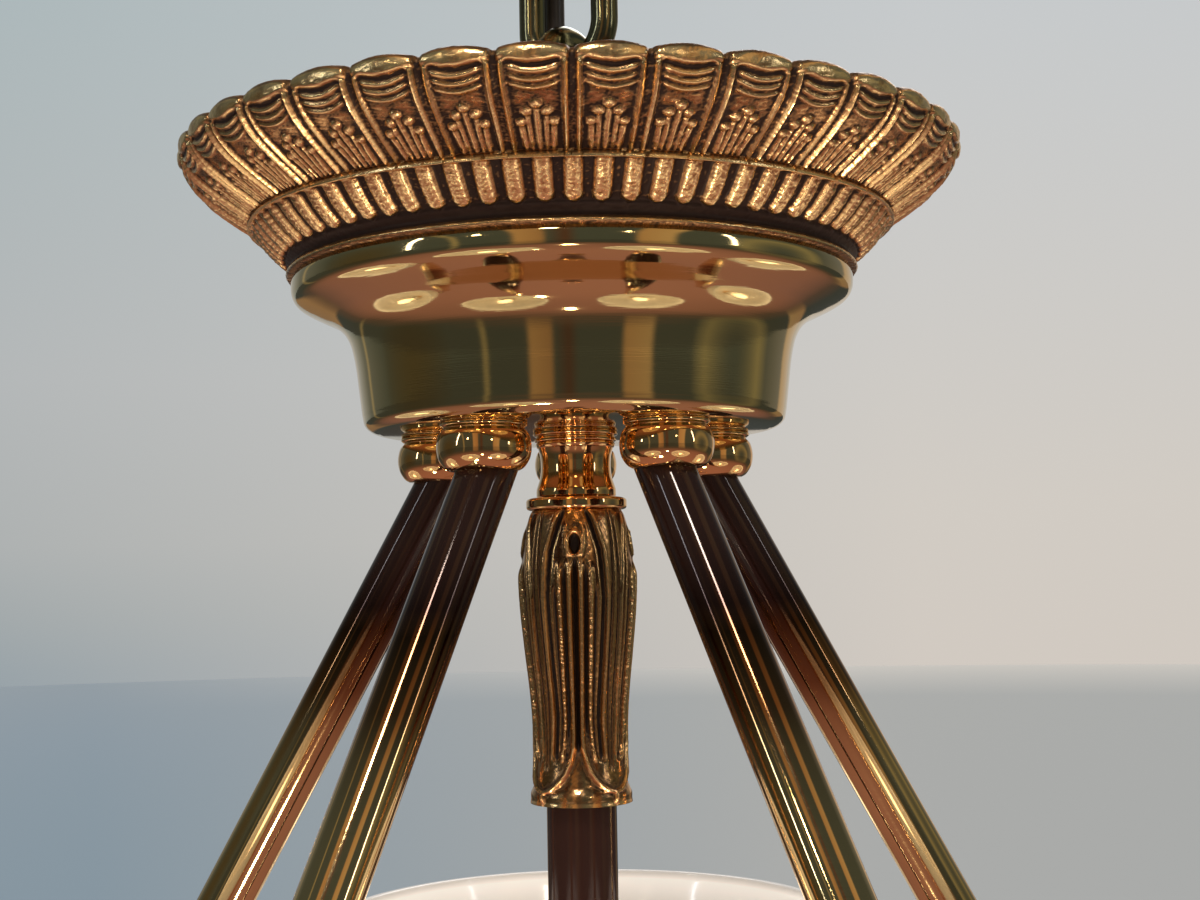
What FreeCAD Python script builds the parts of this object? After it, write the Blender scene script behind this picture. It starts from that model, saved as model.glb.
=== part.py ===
import FreeCAD, Part
import math
import os

V = FreeCAD.Vector

# A hanging light with five bowl lamps. All sizes are in millimetres; names that end in _deg are degrees.
# The origin is the middle of the ceiling face, +Z points up and the light hangs below, in -Z.
# Azimuths turn about +Z from the front, which is -Y, towards +X.

# Clearances, the overrun of cuts, and the sides that round forms are drawn with
fit_gap = 0.05
seat_gap = 0.3
overrun = 1.0
small_sides = 10
middle_sides = 2 * small_sides
large_sides = 24
ring_steps = 16
wire_sides = 8

# Ceiling fitting
bracket_length = 104.0
bracket_width = 22.0
bracket_thickness = 2.5
bracket_drop = 14.0
bracket_tab = 20.0
bracket_flat = 36.0
bracket_screw_spacing = 84.0
bracket_screw_hole_radius = 2.6
rose_radius = 62.0
rose_height = 44.0
rose_wall = 1.2
rose_floor_radius = 24.0
rose_rim_height = 6.0
rose_collar_radius = 7.4
rose_collar_height = 10.0
hook_nut_across = 13.0
hook_nut_height = 6.5
hook_neck = 2.0
hook_thread_end = 6.0

# Chain: the hook, one link and the eye on the light
wire_diameter = 8.0
hook_radius = 15.0
link_inner_width = 18.0
link_pitch = 42.0
eye_radius = 12.0
boss_radius = 8.0
boss_height = 15.6
eye_above_underside = 104.0
link_turn_deg = 35.0

# Supply cable
cable_diameter = 6.0
cable_x = -4.0
cable_y = 12.5
grommet_hole_radius = 4.0
grommet_flange_radius = 4.8
grommet_flange = 1.5
block_length = 20.0
block_width = 14.0
block_height = 12.0
block_set_in = 4.0
hub_block_below_plate = 8.0

# Crown ring: a lobed casting with a ribbed lower band
lobe_count = 38
crown_turn_deg = 0.4
crown_height = 37.0
crown_base_radius = 80.9
crown_waist_radius = 92.9
crown_waist_height = 14.4
crown_rim_radius = 112.8
crown_ledge_radius = 70.0
crown_ledge_height = 4.4
crown_wall = 4.0
lobe_relief = 3.0
rib_relief = 1.4

# Spun cup under the crown
cup_height = 44.0
cup_lip_radius = 80.9
cup_wall = 1.2
cup_foot_radius = 61.2
cup_corner_radius = 5.0
cup_waist_radius = 63.6
cup_waist_height = 21.0
cup_cove_radius = 66.4
cup_cove_height = 29.4
cup_shoulder_radius = 76.4
cup_shoulder_height = 35.2

# Centre column
stem_radius = 5.0
stem_nut_across = 14.0
stem_nut_height = 4.0
plate_thickness = 2.5
plate_clearance = 1.5
neck_ring_radius = 12.3
neck_ring_height = 3.1
spool_head_radius = 11.6
spool_waist_radius = 10.1
spool_height = 16.0
bead_radius = 14.6
bead_height = 3.7
sleeve_length = 83.1
sleeve_belly_radius = 16.5
sleeve_head_radius = 12.9
sleeve_waist_radius = 12.7
sleeve_skirt_radius = 14.7
sleeve_head_height = 15.0
leaf_relief = 1.3
leaf_count = 4
rod_radius = 10.0
rod_wall = 2.0
rod_length = 260.0
bush_height = 14.0
lower_collar_radius = 14.6
lower_collar_height = 4.0
vase_height = 46.0
vase_head_radius = 12.0
vase_head_height = 6.0
vase_belly_radius = 19.0
vase_neck_radius = 9.0
vase_foot_height = 4.0
finial_height = 30.0
finial_bulge = 8.0
finial_neck_radius = 8.0
finial_neck_height = 4.0
finial_tip_radius = 2.0
finial_thread_depth = 10.0

# Arms and the ball collars that they leave the cup through
arm_count = 5
arm_first_deg = 36.0
tube_radius = 8.0
tube_wall = 1.5
arm_lean_deg = 30.4
arm_start_radius = 41.0
arm_reach = 300.0
arm_bowl_gap = 6.18
arm_bend_steps = 4
arm_upturn = 10.0
ball_circle_radius = 42.0
ball_radius = 13.0
ball_flat_radius = 9.5
ball_height = 13.1
nipple_radius = 5.0
nipple_rise = 6.0
plug_depth = 5.0
arm_nut_across = 14.0
arm_nut_height = 4.0

# Lamps
lamp_collar_radius = 11.0
lamp_collar_depth = 9.0
lamp_cup_floor = 3.0
lamp_cup_wall = 2.0
lamp_cup_radius = 26.0
lamp_cup_height = 15.0
holder_radius = 14.0
holder_height = 43.0
holder_well_radius = 7.3
holder_floor = 15.0
shade_rim_radius = 121.0
shade_depth = 100.4
shade_glass = 4.0
shade_floor_radius = 26.0
shade_bow = 27.0
shade_ring_radius = 20.0
shade_ring_height = 5.0
bulb_cap_radius = 7.0
bulb_neck_radius = 9.0
bulb_radius = 22.5
bulb_height = 54.0

# Heights that follow from the sizes above
wire_radius = wire_diameter / 2
hook_z = -(rose_height + rose_collar_height + hook_neck + hook_radius + wire_radius)
link_top_z = hook_z - hook_radius + wire_diameter + seat_gap
link_bottom_z = link_top_z - link_pitch
eye_z = link_bottom_z + wire_diameter + seat_gap - eye_radius
boss_top_z = eye_z - eye_radius
boss_foot_z = boss_top_z - boss_height
stem_top_z = boss_foot_z + 2 * stem_radius
under_z = eye_z - eye_above_underside
crown_z = under_z + cup_height
plate_z = crown_z + crown_ledge_height
plate_top_z = plate_z + plate_thickness
crown_floor_radius = crown_base_radius - crown_wall / 2
ball_foot_z = under_z - ball_height
spool_z = under_z - neck_ring_height
bead_z = spool_z - spool_height
sleeve_z = bead_z - bead_height
rod_z = sleeve_z - sleeve_head_height
rod_foot_z = rod_z - rod_length
vase_z = rod_foot_z - lower_collar_height
finial_z = vase_z - vase_height
bracket_foot_z = -bracket_drop - bracket_thickness

# The bowl's widest bow, as a radius from the lamp's axis and a height over the bend
shade_run = shade_rim_radius - shade_floor_radius
shade_rise = shade_depth - shade_glass
shade_chord = math.hypot(shade_run, shade_rise)
flank_radius = (shade_floor_radius + shade_rim_radius) / 2 + shade_bow * shade_rise / shade_chord
flank_height = arm_upturn + lamp_cup_floor + lamp_cup_height + shade_rise / 2
flank_height -= shade_bow * shade_run / shade_chord

# The arm's bend, in the plane of one arm, just wide enough to pass the bowl's flank
lean = math.radians(arm_lean_deg)
flank_reach = flank_radius * math.cos(lean) - flank_height * math.sin(lean)
arm_bend_radius = (arm_bowl_gap + tube_radius + flank_reach) / (1 + math.cos(lean))
bend_start_radius = arm_reach - arm_bend_radius * (1 + math.cos(lean))
arm_run = (bend_start_radius - arm_start_radius) / math.sin(lean)
bend_start_z = ball_foot_z - arm_run * math.cos(lean)
bend_end_z = bend_start_z + arm_bend_radius * math.sin(lean)
tube_end_z = bend_end_z + arm_upturn
lamp_floor_z = tube_end_z + lamp_cup_floor
shade_z = lamp_floor_z + lamp_cup_height
tube_bore_radius = tube_radius - tube_wall

# Round forms have flat sides, so that the many repeated pieces stay light


def at(radius, height, azimuth_deg=0):
    """The point at a radius, height and azimuth."""
    turn = math.radians(azimuth_deg)
    return V(radius * math.sin(turn), -radius * math.cos(turn), height)


def level(radius, height, sides):
    """The corners of a level polygon around the Z axis."""
    return [at(radius, height, 360 * i / sides) for i in range(sides)]


def flat_face(corners):
    """A flat face through its corners."""
    return Part.Face(Part.makePolygon(corners + corners[:1]))


def patch(corners):
    """One flat face through four corners, or two where they don't lie in a plane."""
    a, b, c, d = corners
    normal = (b - a).cross(c - a)
    if abs(normal.dot(d - a)) < normal.Length * fit_gap / 1000:
        return [flat_face(corners)]
    return [flat_face([a, b, c]), flat_face([a, c, d])]


def banded(levels, ring=False):
    """A solid of bands between polygons of as many corners; a ring's last polygon joins its first."""
    faces = []
    for low, high in zip(levels, levels[1:] + levels[:1] if ring else levels[1:]):
        for i in range(len(low)):
            j = (i + 1) % len(low)
            faces += patch([low[i], low[j], high[j], high[i]])
    if not ring:
        faces += [flat_face(levels[0]), flat_face(levels[-1])]
    shell = Part.makeShell(faces)
    shell.sewShape()
    solid = Part.makeSolid(shell)
    if solid.Volume < 0:
        solid.reverse()
    return solid


def turned(steps, sides, ring=False):
    """A turned piece from its outline of (radius, height) steps; a ring's outline closes on itself."""
    return banded([level(radius, height, sides) for radius, height in steps], ring)


def bowed(start, end, bulge, count):
    """Steps after a start to an end (radius, height), bowed by a bulge to the right of that way."""
    run = end[0] - start[0]
    rise = end[1] - start[1]
    chord = math.hypot(run, rise)
    steps = []
    for i in range(1, count + 1):
        along = i / count
        out = 4 * bulge * along * (1 - along) / chord
        steps.append((start[0] + run * along + rise * out, start[1] + rise * along - run * out))
    return steps


def drum(radius, low_z, high_z, sides=small_sides):
    """An upright bar on the Z axis."""
    return turned([(radius, low_z), (radius, high_z)], sides)


def tube(radius, bore_radius, low_z, high_z, sides=small_sides):
    """An upright tube on the Z axis."""
    steps = [(bore_radius, low_z), (radius, low_z), (radius, high_z), (bore_radius, high_z)]
    return turned(steps, sides, ring=True)


def hex_nut(across, low_z, height, bore_radius):
    """A hexagonal nut on the Z axis."""
    body = drum(across / math.sqrt(3), low_z, low_z + height, 6)
    return body.cut(drum(bore_radius, low_z - overrun, low_z + height + overrun, small_sides))


def bar(stations, radius, sides, ring=False):
    """A round bar through stations, each a middle and the two directions of its section."""
    turns = [2 * math.pi * i / sides for i in range(sides)]
    levels = [
        [middle + across * (radius * math.cos(t)) + up * (radius * math.sin(t)) for t in turns]
        for middle, across, up in stations
    ]
    return banded(levels, ring)


def bow_stations(middle, radius, first_deg, last_deg, count):
    """Stations on an arc in the XZ plane, by its angles from +X towards +Z."""
    stations = []
    for i in range(count + 1):
        turn = math.radians(first_deg + (last_deg - first_deg) * i / count)
        out = V(math.cos(turn), 0, math.sin(turn))
        stations.append((middle + out * radius, out, V(0, 1, 0)))
    return stations


def placed(shape, radius, azimuth_deg):
    """A shape made on the Z axis, moved out to a radius and turned to an azimuth."""
    moved = shape.copy()
    moved.translate(V(0, -radius, 0))
    moved.rotate(V(0, 0, 0), V(0, 0, 1), azimuth_deg)
    return moved


def arm_azimuths():
    return [arm_first_deg + i * 360 / arm_count for i in range(arm_count)]


def at_each_arm(shape, radius):
    """One copy of a shape for each arm."""
    return Part.makeCompound([placed(shape, radius, azimuth) for azimuth in arm_azimuths()])


def turned_to_link(shape, extra_deg):
    """A shape made in the XZ plane, turned to the link's plane or square to it."""
    moved = shape.copy()
    moved.rotate(V(0, 0, 0), V(0, 0, 1), extra_deg - link_turn_deg)
    return moved


def eye_ring(middle_z, radius):
    """A closed ring of the chain's wire in the XZ plane."""
    stations = bow_stations(V(0, 0, middle_z), radius, 0, 360, ring_steps)[:-1]
    return bar(stations, wire_radius, wire_sides, ring=True)


# Ceiling pieces


def ceiling_bracket():
    """A strap with two screwed tabs and a dropped middle that leaves room for the hook's nut."""
    half = bracket_length / 2
    tab = half - bracket_tab
    flat = bracket_flat / 2
    left = [(-half, 0), (-tab, 0), (-flat, -bracket_drop)]
    top = left + [(-x, z) for x, z in reversed(left)]
    bottom = [(x, z - bracket_thickness) for x, z in reversed(top)]
    outline = [V(x, -bracket_width / 2, z) for x, z in top + bottom]
    strap = Part.Face(Part.makePolygon(outline + outline[:1])).extrude(V(0, bracket_width, 0))
    for side in (-1, 1):
        middle = V(side * bracket_screw_spacing / 2, 0, -bracket_thickness - overrun)
        depth = bracket_thickness + 2 * overrun
        strap = strap.cut(Part.makeCylinder(bracket_screw_hole_radius, depth, middle))
    return strap.cut(drum(wire_radius + fit_gap, bracket_foot_z - overrun, overrun - bracket_drop))


def hook_nuts():
    """Two nuts that hold the hook's thread in the bracket."""
    lows = (-bracket_drop, bracket_foot_z - hook_nut_height)
    bore = wire_radius + fit_gap
    return Part.makeCompound([hex_nut(hook_nut_across, low, hook_nut_height, bore) for low in lows])


def ceiling_rose():
    """The spun cover over the bracket, with holes for the hook and the cable."""
    floor = -rose_height
    spring = -rose_rim_height
    bow = (rose_radius - rose_floor_radius) / 4
    wall = rose_wall
    hole = wire_radius + seat_gap
    outer = [(hole, floor), (rose_floor_radius, floor)]
    outer += bowed(outer[-1], (rose_radius, spring), bow, 3) + [(rose_radius, 0)]
    inner = [(hole, floor + wall), (rose_floor_radius - wall, floor + wall)]
    inner += bowed(inner[-1], (rose_radius - wall, spring), bow, 3) + [(rose_radius - wall, 0)]
    shell = turned(outer + inner[::-1], large_sides, ring=True)
    cable_hole = drum(grommet_hole_radius, floor - overrun, floor + wall + overrun, small_sides)
    cable_hole.translate(V(cable_x, cable_y, 0))
    return shell.cut(cable_hole)


def rose_collar():
    """The round nut under the rose that holds it up against the ceiling."""
    foot = -rose_height - rose_collar_height
    bore = wire_radius + fit_gap
    edge = rose_collar_radius / 4
    radius = rose_collar_radius
    steps = [(bore, -rose_height), (radius, -rose_height), (radius, foot + edge)]
    return turned(steps + [(radius - edge, foot), (bore, foot)], small_sides, ring=True)


def ceiling_hook():
    """A closed hook of round wire on a threaded shank."""
    shank = drum(wire_radius, hook_z + hook_radius, -hook_thread_end)
    return turned_to_link(eye_ring(hook_z, hook_radius), 90).fuse(shank)


def chain_link():
    """One welded link: two straight strands and two half-round ends."""
    radius = (link_inner_width + wire_diameter) / 2
    half = link_pitch / 2 - radius
    middle_z = (link_top_z + link_bottom_z) / 2
    steps = ring_steps // 2
    stations = bow_stations(V(0, 0, middle_z + half), radius, 0, 180, steps)
    stations += bow_stations(V(0, 0, middle_z - half), radius, 180, 360, steps)
    return turned_to_link(bar(stations, wire_radius, wire_sides, ring=True), 0)


def cable_run(low_z, high_z):
    """An upright stretch of the supply cable."""
    run = drum(cable_diameter / 2, low_z, high_z, small_sides)
    run.translate(V(cable_x, cable_y, 0))
    return run


def grommet(face_z, wall, side):
    """A flanged bush in a sheet; side is 1 where the flange lies on the top face and -1 under it."""
    bore = cable_diameter / 2 + fit_gap
    sleeve = grommet_hole_radius - fit_gap
    flange_z = face_z + side * grommet_flange
    far_z = face_z - side * wall
    flange = [(bore, flange_z), (grommet_flange_radius, flange_z), (grommet_flange_radius, face_z)]
    ring = turned(flange + [(sleeve, face_z), (sleeve, far_z), (bore, far_z)], small_sides, ring=True)
    ring.translate(V(cable_x, cable_y, 0))
    return ring


def terminal_block(top_z):
    """A cable connector, set back so that it clears the nuts on the axis."""
    low = V(cable_x - block_length / 2, cable_y - block_set_in, top_z - block_height)
    return Part.makeBox(block_length, block_width, block_height, low)


# Hub pieces


def hanging_eye():
    """The eye at the top of the light: a ring on a boss that screws on the stem."""
    steps = [(wire_radius, boss_top_z), (boss_radius, boss_top_z - wire_radius), (boss_radius, boss_foot_z)]
    boss = turned(steps, small_sides)
    thread = drum(stem_radius + fit_gap, boss_foot_z - overrun, stem_top_z + fit_gap)
    return turned_to_link(eye_ring(eye_z, eye_radius), 90).fuse(boss).cut(thread)


def centre_stem():
    """The threaded bar that clamps eye, plate, cup and neck together and ends in the rod's bush."""
    return drum(stem_radius, rod_z - bush_height, stem_top_z, small_sides)


def stem_nuts():
    """Nuts under the eye, on the plate and on the cup's floor."""
    lows = (boss_foot_z - stem_nut_height, plate_top_z, under_z + cup_wall)
    bore = stem_radius + fit_gap
    return Part.makeCompound([hex_nut(stem_nut_across, low, stem_nut_height, bore) for low in lows])


def top_plate():
    """The steel disc that clamps the crown down on the cup."""
    radius = crown_floor_radius - plate_clearance
    disc = tube(radius, stem_radius + fit_gap, plate_z, plate_top_z, middle_sides)
    hole = drum(grommet_hole_radius, plate_z - overrun, plate_top_z + overrun, small_sides)
    hole.translate(V(cable_x, cable_y, 0))
    return disc.cut(hole)


def crown_level(radius, height, relief=(0, 0), drop=0):
    """A level of the crown, with four corners to a lobe, sunk by the lobe's and the rib's relief.

    A lobe is round from groove to groove, and its lip drops towards the grooves.
    Two ribs lie under each lobe.
    """
    lobe_relief_here, rib_relief_here = relief
    corners = []
    for i in range(4 * lobe_count):
        # How far the corner lies from the lobe's crest towards its groove, as a share of the round's depth
        groove_share = (1.0, 0.25, 0.0, 0.25)[i % 4]
        sunk = lobe_relief_here * groove_share + rib_relief_here * ((i + 1) % 2)
        azimuth = crown_turn_deg + 90 * i / lobe_count
        corners.append(at(radius - sunk, height - drop * groove_share, azimuth))
    return corners


def crown_ring():
    """The cast crown: lobes over ribs, hollow inside, with a ledge for the plate."""
    base = crown_base_radius
    band = crown_waist_radius - base
    flare = crown_rim_radius - crown_waist_radius
    waist_z = crown_z + crown_waist_height
    rise = crown_height - crown_waist_height
    levels = [crown_level(base, crown_z)]
    # Ribs: shares of the band's width, of its height and of the relief
    for out_share, up_share, relief_share in ((0.46, 0.42, 0.6), (0.97, 0.88, 1.0)):
        relief = (0, rib_relief * relief_share)
        levels.append(crown_level(base + band * out_share, crown_z + crown_waist_height * up_share, relief))
    levels.append(crown_level(crown_waist_radius, waist_z))
    # Lobes: shares of the flare's width, of its height, of the relief and of the lip's drop
    lobe_shares = ((0.62, 0.40, 0.8, 0.0), (1.0, 0.86, 1.0, 1.0), (0.90, 1.0, 1.0, 0.0))
    for out_share, up_share, relief_share, drop_share in lobe_shares:
        relief = (lobe_relief * relief_share, 0)
        levels.append(crown_level(crown_waist_radius + flare * out_share, waist_z + rise * up_share, relief,
                                  lobe_relief * drop_share))
    return banded(levels).cut(crown_hollow())


def crown_hollow():
    """The space inside the crown, from below its ledge to above its rim."""
    rim_z = crown_z + crown_height
    rim_radius = crown_rim_radius - lobe_relief - crown_wall
    steps = [(crown_ledge_radius, crown_z - overrun), (crown_ledge_radius, plate_z)]
    steps += [(crown_floor_radius, plate_z), (crown_waist_radius - crown_wall, crown_z + crown_waist_height)]
    return turned(steps + [(rim_radius, rim_z), (rim_radius, rim_z + overrun)], large_sides)


def hub_cup():
    """The spun brass cup, open at the top, bored for the stem and the arms."""
    z = under_z
    wall = cup_wall
    bore = stem_radius + fit_gap
    cove_bow = (cup_shoulder_radius - cup_cove_radius) / 5
    lip_bow = (cup_height - cup_shoulder_height) / 6
    outer = [(bore, z), (cup_foot_radius - cup_corner_radius, z)]
    outer += bowed(outer[-1], (cup_foot_radius, z + cup_corner_radius), cup_corner_radius / 5, 2)
    outer += [(cup_waist_radius, z + cup_waist_height), (cup_cove_radius, z + cup_cove_height)]
    outer += bowed(outer[-1], (cup_shoulder_radius, z + cup_shoulder_height), -cove_bow, 2)
    outer += bowed(outer[-1], (cup_lip_radius, z + cup_height), lip_bow, 2)
    inner = [(bore, z + wall), (cup_foot_radius - cup_corner_radius, z + wall)]
    inner += [(cup_foot_radius - wall, z + cup_corner_radius)]
    inner += [(cup_cove_radius - wall, z + cup_cove_height + wall)]
    inner_shoulder = (cup_shoulder_radius - wall, z + cup_shoulder_height + wall)
    inner += bowed(inner[-1], inner_shoulder, -cove_bow, 2) + [(cup_lip_radius - wall, z + cup_height)]
    cup = turned(outer + inner[::-1], large_sides, ring=True)
    hole = drum(nipple_radius + fit_gap, z - overrun, z + wall + overrun, small_sides)
    return cup.cut(at_each_arm(hole, ball_circle_radius))


# Centre column


def beaded(radius, top_z, height):
    """A bored ring with a rounded edge, for the neck, the bead and the lower collar."""
    bore = stem_radius + fit_gap
    edge = height / 2
    steps = [(bore, top_z), (radius - edge / 2, top_z), (radius, top_z - edge)]
    steps += [(radius - edge / 2, top_z - height), (bore, top_z - height)]
    return turned(steps, middle_sides, ring=True)


def neck_spool():
    """A turned spool with a drawn-in waist."""
    bore = stem_radius + fit_gap
    edge = spool_height / 12
    waist = spool_head_radius - spool_waist_radius
    steps = [(bore, bead_z), (spool_head_radius - edge, bead_z), (spool_head_radius, bead_z + edge)]
    steps += bowed(steps[-1], (spool_head_radius, spool_z - edge), -waist, 3)
    steps += [(spool_head_radius - edge, spool_z), (bore, spool_z)]
    return turned(steps, middle_sides, ring=True)


def leaf_level(radius, height, wide_share, relief):
    """A level of the sleeve: wide leaves between narrow ones, sunk where they meet."""
    pitch = 360 / leaf_count
    half = pitch / 2 * wide_share
    corners = []
    for i in range(leaf_count):
        middle = (i + 0.5) * pitch
        corners += [
            at(radius - relief, height, middle - half),
            at(radius - relief / 4, height, middle - half / 2),
            at(radius, height, middle),
            at(radius - relief / 4, height, middle + half / 2),
            at(radius - relief, height, middle + half),
            at(radius, height, middle + pitch / 2),
        ]
    return corners


def leaf_sleeve():
    """The cast leaf sleeve: four long leaves whose tips close over a flared skirt."""
    belly = sleeve_belly_radius
    waist = sleeve_waist_radius
    # Each section's share of the length, its radius, the leaf's share of its pitch and its relief's share
    sections = (
        (1.0, sleeve_skirt_radius, 0.16, 0.7),
        (0.95, sleeve_skirt_radius, 0.16, 0.7),
        (0.88, (sleeve_skirt_radius + waist) / 2, 0.36, 0.8),
        (0.74, waist, 0.60, 1.0),
        (0.58, (waist * 3 + belly) / 4, 0.66, 1.0),
        (0.40, (waist + belly * 3) / 4, 0.72, 1.0),
        (0.22, belly, 0.70, 1.0),
        (0.08, (sleeve_head_radius + belly) / 2, 0.66, 0.7),
        (0.0, sleeve_head_radius, 0.60, 0.3),
    )
    levels = [
        leaf_level(radius, sleeve_z - sleeve_length * down_share, wide_share, leaf_relief * relief_share)
        for down_share, radius, wide_share, relief_share in sections
    ]
    foot_z = sleeve_z - sleeve_length
    wide = rod_radius + fit_gap
    narrow = stem_radius + fit_gap
    hollow = drum(wide, foot_z - overrun, rod_z, middle_sides)
    return banded(levels).cut(hollow).cut(drum(narrow, rod_z - overrun, sleeve_z + overrun, middle_sides))


def rod_bushes():
    """Threaded bushes in both ends of the rod."""
    bore = stem_radius + fit_gap
    radius = rod_radius - rod_wall - fit_gap
    lows = (rod_z - bush_height, rod_foot_z)
    return Part.makeCompound([tube(radius, bore, low, low + bush_height, small_sides) for low in lows])


def lower_vase():
    """The turned vase under the rod."""
    bore = stem_radius + fit_gap
    foot = vase_z - vase_height
    bulge = vase_belly_radius - vase_neck_radius
    steps = [(bore, foot), (rod_radius, foot), (vase_neck_radius, foot + vase_foot_height)]
    steps += bowed(steps[-1], (vase_neck_radius, vase_z - vase_head_height), bulge, 5)
    steps += [(vase_head_radius, vase_z), (bore, vase_z)]
    return turned(steps, middle_sides, ring=True)


def finial():
    """The acorn at the bottom, bored for the stud."""
    tip = (finial_tip_radius, finial_z - finial_height)
    neck = (finial_neck_radius, finial_z - finial_neck_height)
    steps = [tip] + bowed(tip, neck, finial_bulge, 4) + [(rod_radius, finial_z)]
    thread = drum(stem_radius + fit_gap, finial_z - finial_thread_depth, finial_z + overrun)
    return turned(steps, middle_sides).cut(thread)


# Arm pieces


def ball_collars():
    """Flattened balls between the cup and the arms."""
    bore = nipple_radius + fit_gap
    shoulder = ball_height / 3
    steps = [(bore, ball_foot_z), (ball_flat_radius, ball_foot_z), (ball_radius, ball_foot_z + shoulder)]
    steps += [(ball_radius, under_z - shoulder), (ball_flat_radius, under_z), (bore, under_z)]
    return at_each_arm(turned(steps, small_sides, ring=True), ball_circle_radius)


def arm_nipples():
    """Threaded nipples that tie each arm through its ball to the cup."""
    high = under_z + cup_wall + nipple_rise
    return at_each_arm(drum(nipple_radius, ball_foot_z - plug_depth, high, small_sides), ball_circle_radius)


def arm_nuts():
    """A nut on each nipple, inside the cup."""
    nut = hex_nut(arm_nut_across, under_z + cup_wall, arm_nut_height, nipple_radius + fit_gap)
    return at_each_arm(nut, ball_circle_radius)


def arm_stations():
    """The arm's route from the bend's start to its upturned end, in the plane of an arm at azimuth 0."""
    stations = []
    middle = V(0, -arm_reach + arm_bend_radius, bend_end_z)
    for i in range(arm_bend_steps + 1):
        turn = lean + (math.pi - lean) * i / arm_bend_steps
        # The section's own direction, square to the tube
        out = V(0, math.cos(turn), -math.sin(turn))
        stations.append((middle + out * arm_bend_radius, out, V(1, 0, 0)))
    stations.append((V(0, -arm_reach, tube_end_z), V(0, -1, 0), V(1, 0, 0)))
    return stations


def arm_tube():
    """One arm: a bent brass tube, cut level at its top and bored for its nipple."""
    stations = arm_stations()
    first, out, side = stations[0]
    down = V(0, -math.sin(lean), -math.cos(lean))
    top = first - down * (arm_run + 2 * tube_radius)
    blank = bar([(top, out, side)] + stations, tube_radius, small_sides)
    reach = 8 * tube_radius
    corner = V(-reach / 2, -arm_start_radius - reach / 2, ball_foot_z)
    arm = blank.cut(Part.makeBox(reach, reach, reach, corner))
    bore_top = first - down * (arm_run - 4 * tube_radius)
    arm = arm.cut(bar([(bore_top, out, side), (first, out, side)], tube_bore_radius, small_sides))
    hole = drum(nipple_radius + fit_gap, ball_foot_z - plug_depth - fit_gap, ball_foot_z + overrun)
    hole.translate(V(0, -ball_circle_radius, 0))
    return arm.cut(hole)


# Lamp pieces


def lamp_cup():
    """The turned cup on an arm's end that the shade stands on."""
    foot_z = tube_end_z - lamp_collar_depth
    bore = tube_radius + fit_gap
    socket = holder_radius + fit_gap
    hole = nipple_radius + fit_gap
    steps = [(bore, tube_end_z), (bore, foot_z), (lamp_collar_radius, foot_z)]
    steps += [(lamp_collar_radius, tube_end_z - lamp_cup_floor), (socket + lamp_cup_wall, lamp_floor_z)]
    steps += [(lamp_cup_radius, shade_z), (socket, shade_z), (socket, lamp_floor_z)]
    return turned(steps + [(hole, lamp_floor_z), (hole, tube_end_z)], small_sides, ring=True)


def lamp_nipple():
    """The threaded pin from an arm's end into the lampholder."""
    return drum(nipple_radius, tube_end_z + fit_gap, lamp_floor_z + holder_floor / 2, small_sides)


def lamp_holder():
    """The lampholder: a round body with the bulb's well and the nipple's hole."""
    top = lamp_floor_z + holder_height
    well = lamp_floor_z + holder_floor
    bore = nipple_radius + fit_gap
    steps = [(bore, lamp_floor_z), (holder_radius, lamp_floor_z), (holder_radius, top)]
    steps += [(holder_well_radius, top), (holder_well_radius, well), (bore, well)]
    return turned(steps, small_sides, ring=True)


def glass_shade():
    """The opal bowl with a thick rim and a hole for the lampholder."""
    hole = holder_radius + seat_gap
    rim_z = shade_z + shade_depth
    steps = [(hole, shade_z), (shade_floor_radius, shade_z)]
    steps += bowed(steps[-1], (shade_rim_radius, rim_z - shade_glass), shade_bow, 3)
    steps += [(shade_rim_radius, rim_z), (shade_rim_radius - shade_glass, rim_z)]
    inner_floor = (shade_floor_radius - shade_glass / 2, shade_z + shade_glass)
    steps += bowed(steps[-1], inner_floor, shade_glass / 2 - shade_bow, 3)
    return turned(steps + [(hole, shade_z + shade_glass)], large_sides, ring=True)


def shade_ring():
    """The threaded ring that holds the bowl down on its cup."""
    low = shade_z + shade_glass
    return tube(shade_ring_radius, holder_radius + fit_gap, low, low + shade_ring_height)


def lamp_bulb():
    """A round bulb with its screw cap."""
    low = lamp_floor_z + holder_floor + seat_gap
    neck_z = lamp_floor_z + holder_height + seat_gap
    top = neck_z + bulb_height
    widest_z = top - bulb_radius
    steps = [(bulb_cap_radius, low), (bulb_cap_radius, neck_z), (bulb_neck_radius, neck_z)]
    for turn_deg in (-45, 0, 60):
        turn = math.radians(turn_deg)
        steps.append((bulb_radius * math.cos(turn), widest_z + bulb_radius * math.sin(turn)))
    return turned(steps, small_sides)


def numbered(name, shape, radius):
    """One node for each arm, named by its number."""
    return {f"{name}_{i + 1}": placed(shape, radius, azimuth) for i, azimuth in enumerate(arm_azimuths())}


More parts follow.
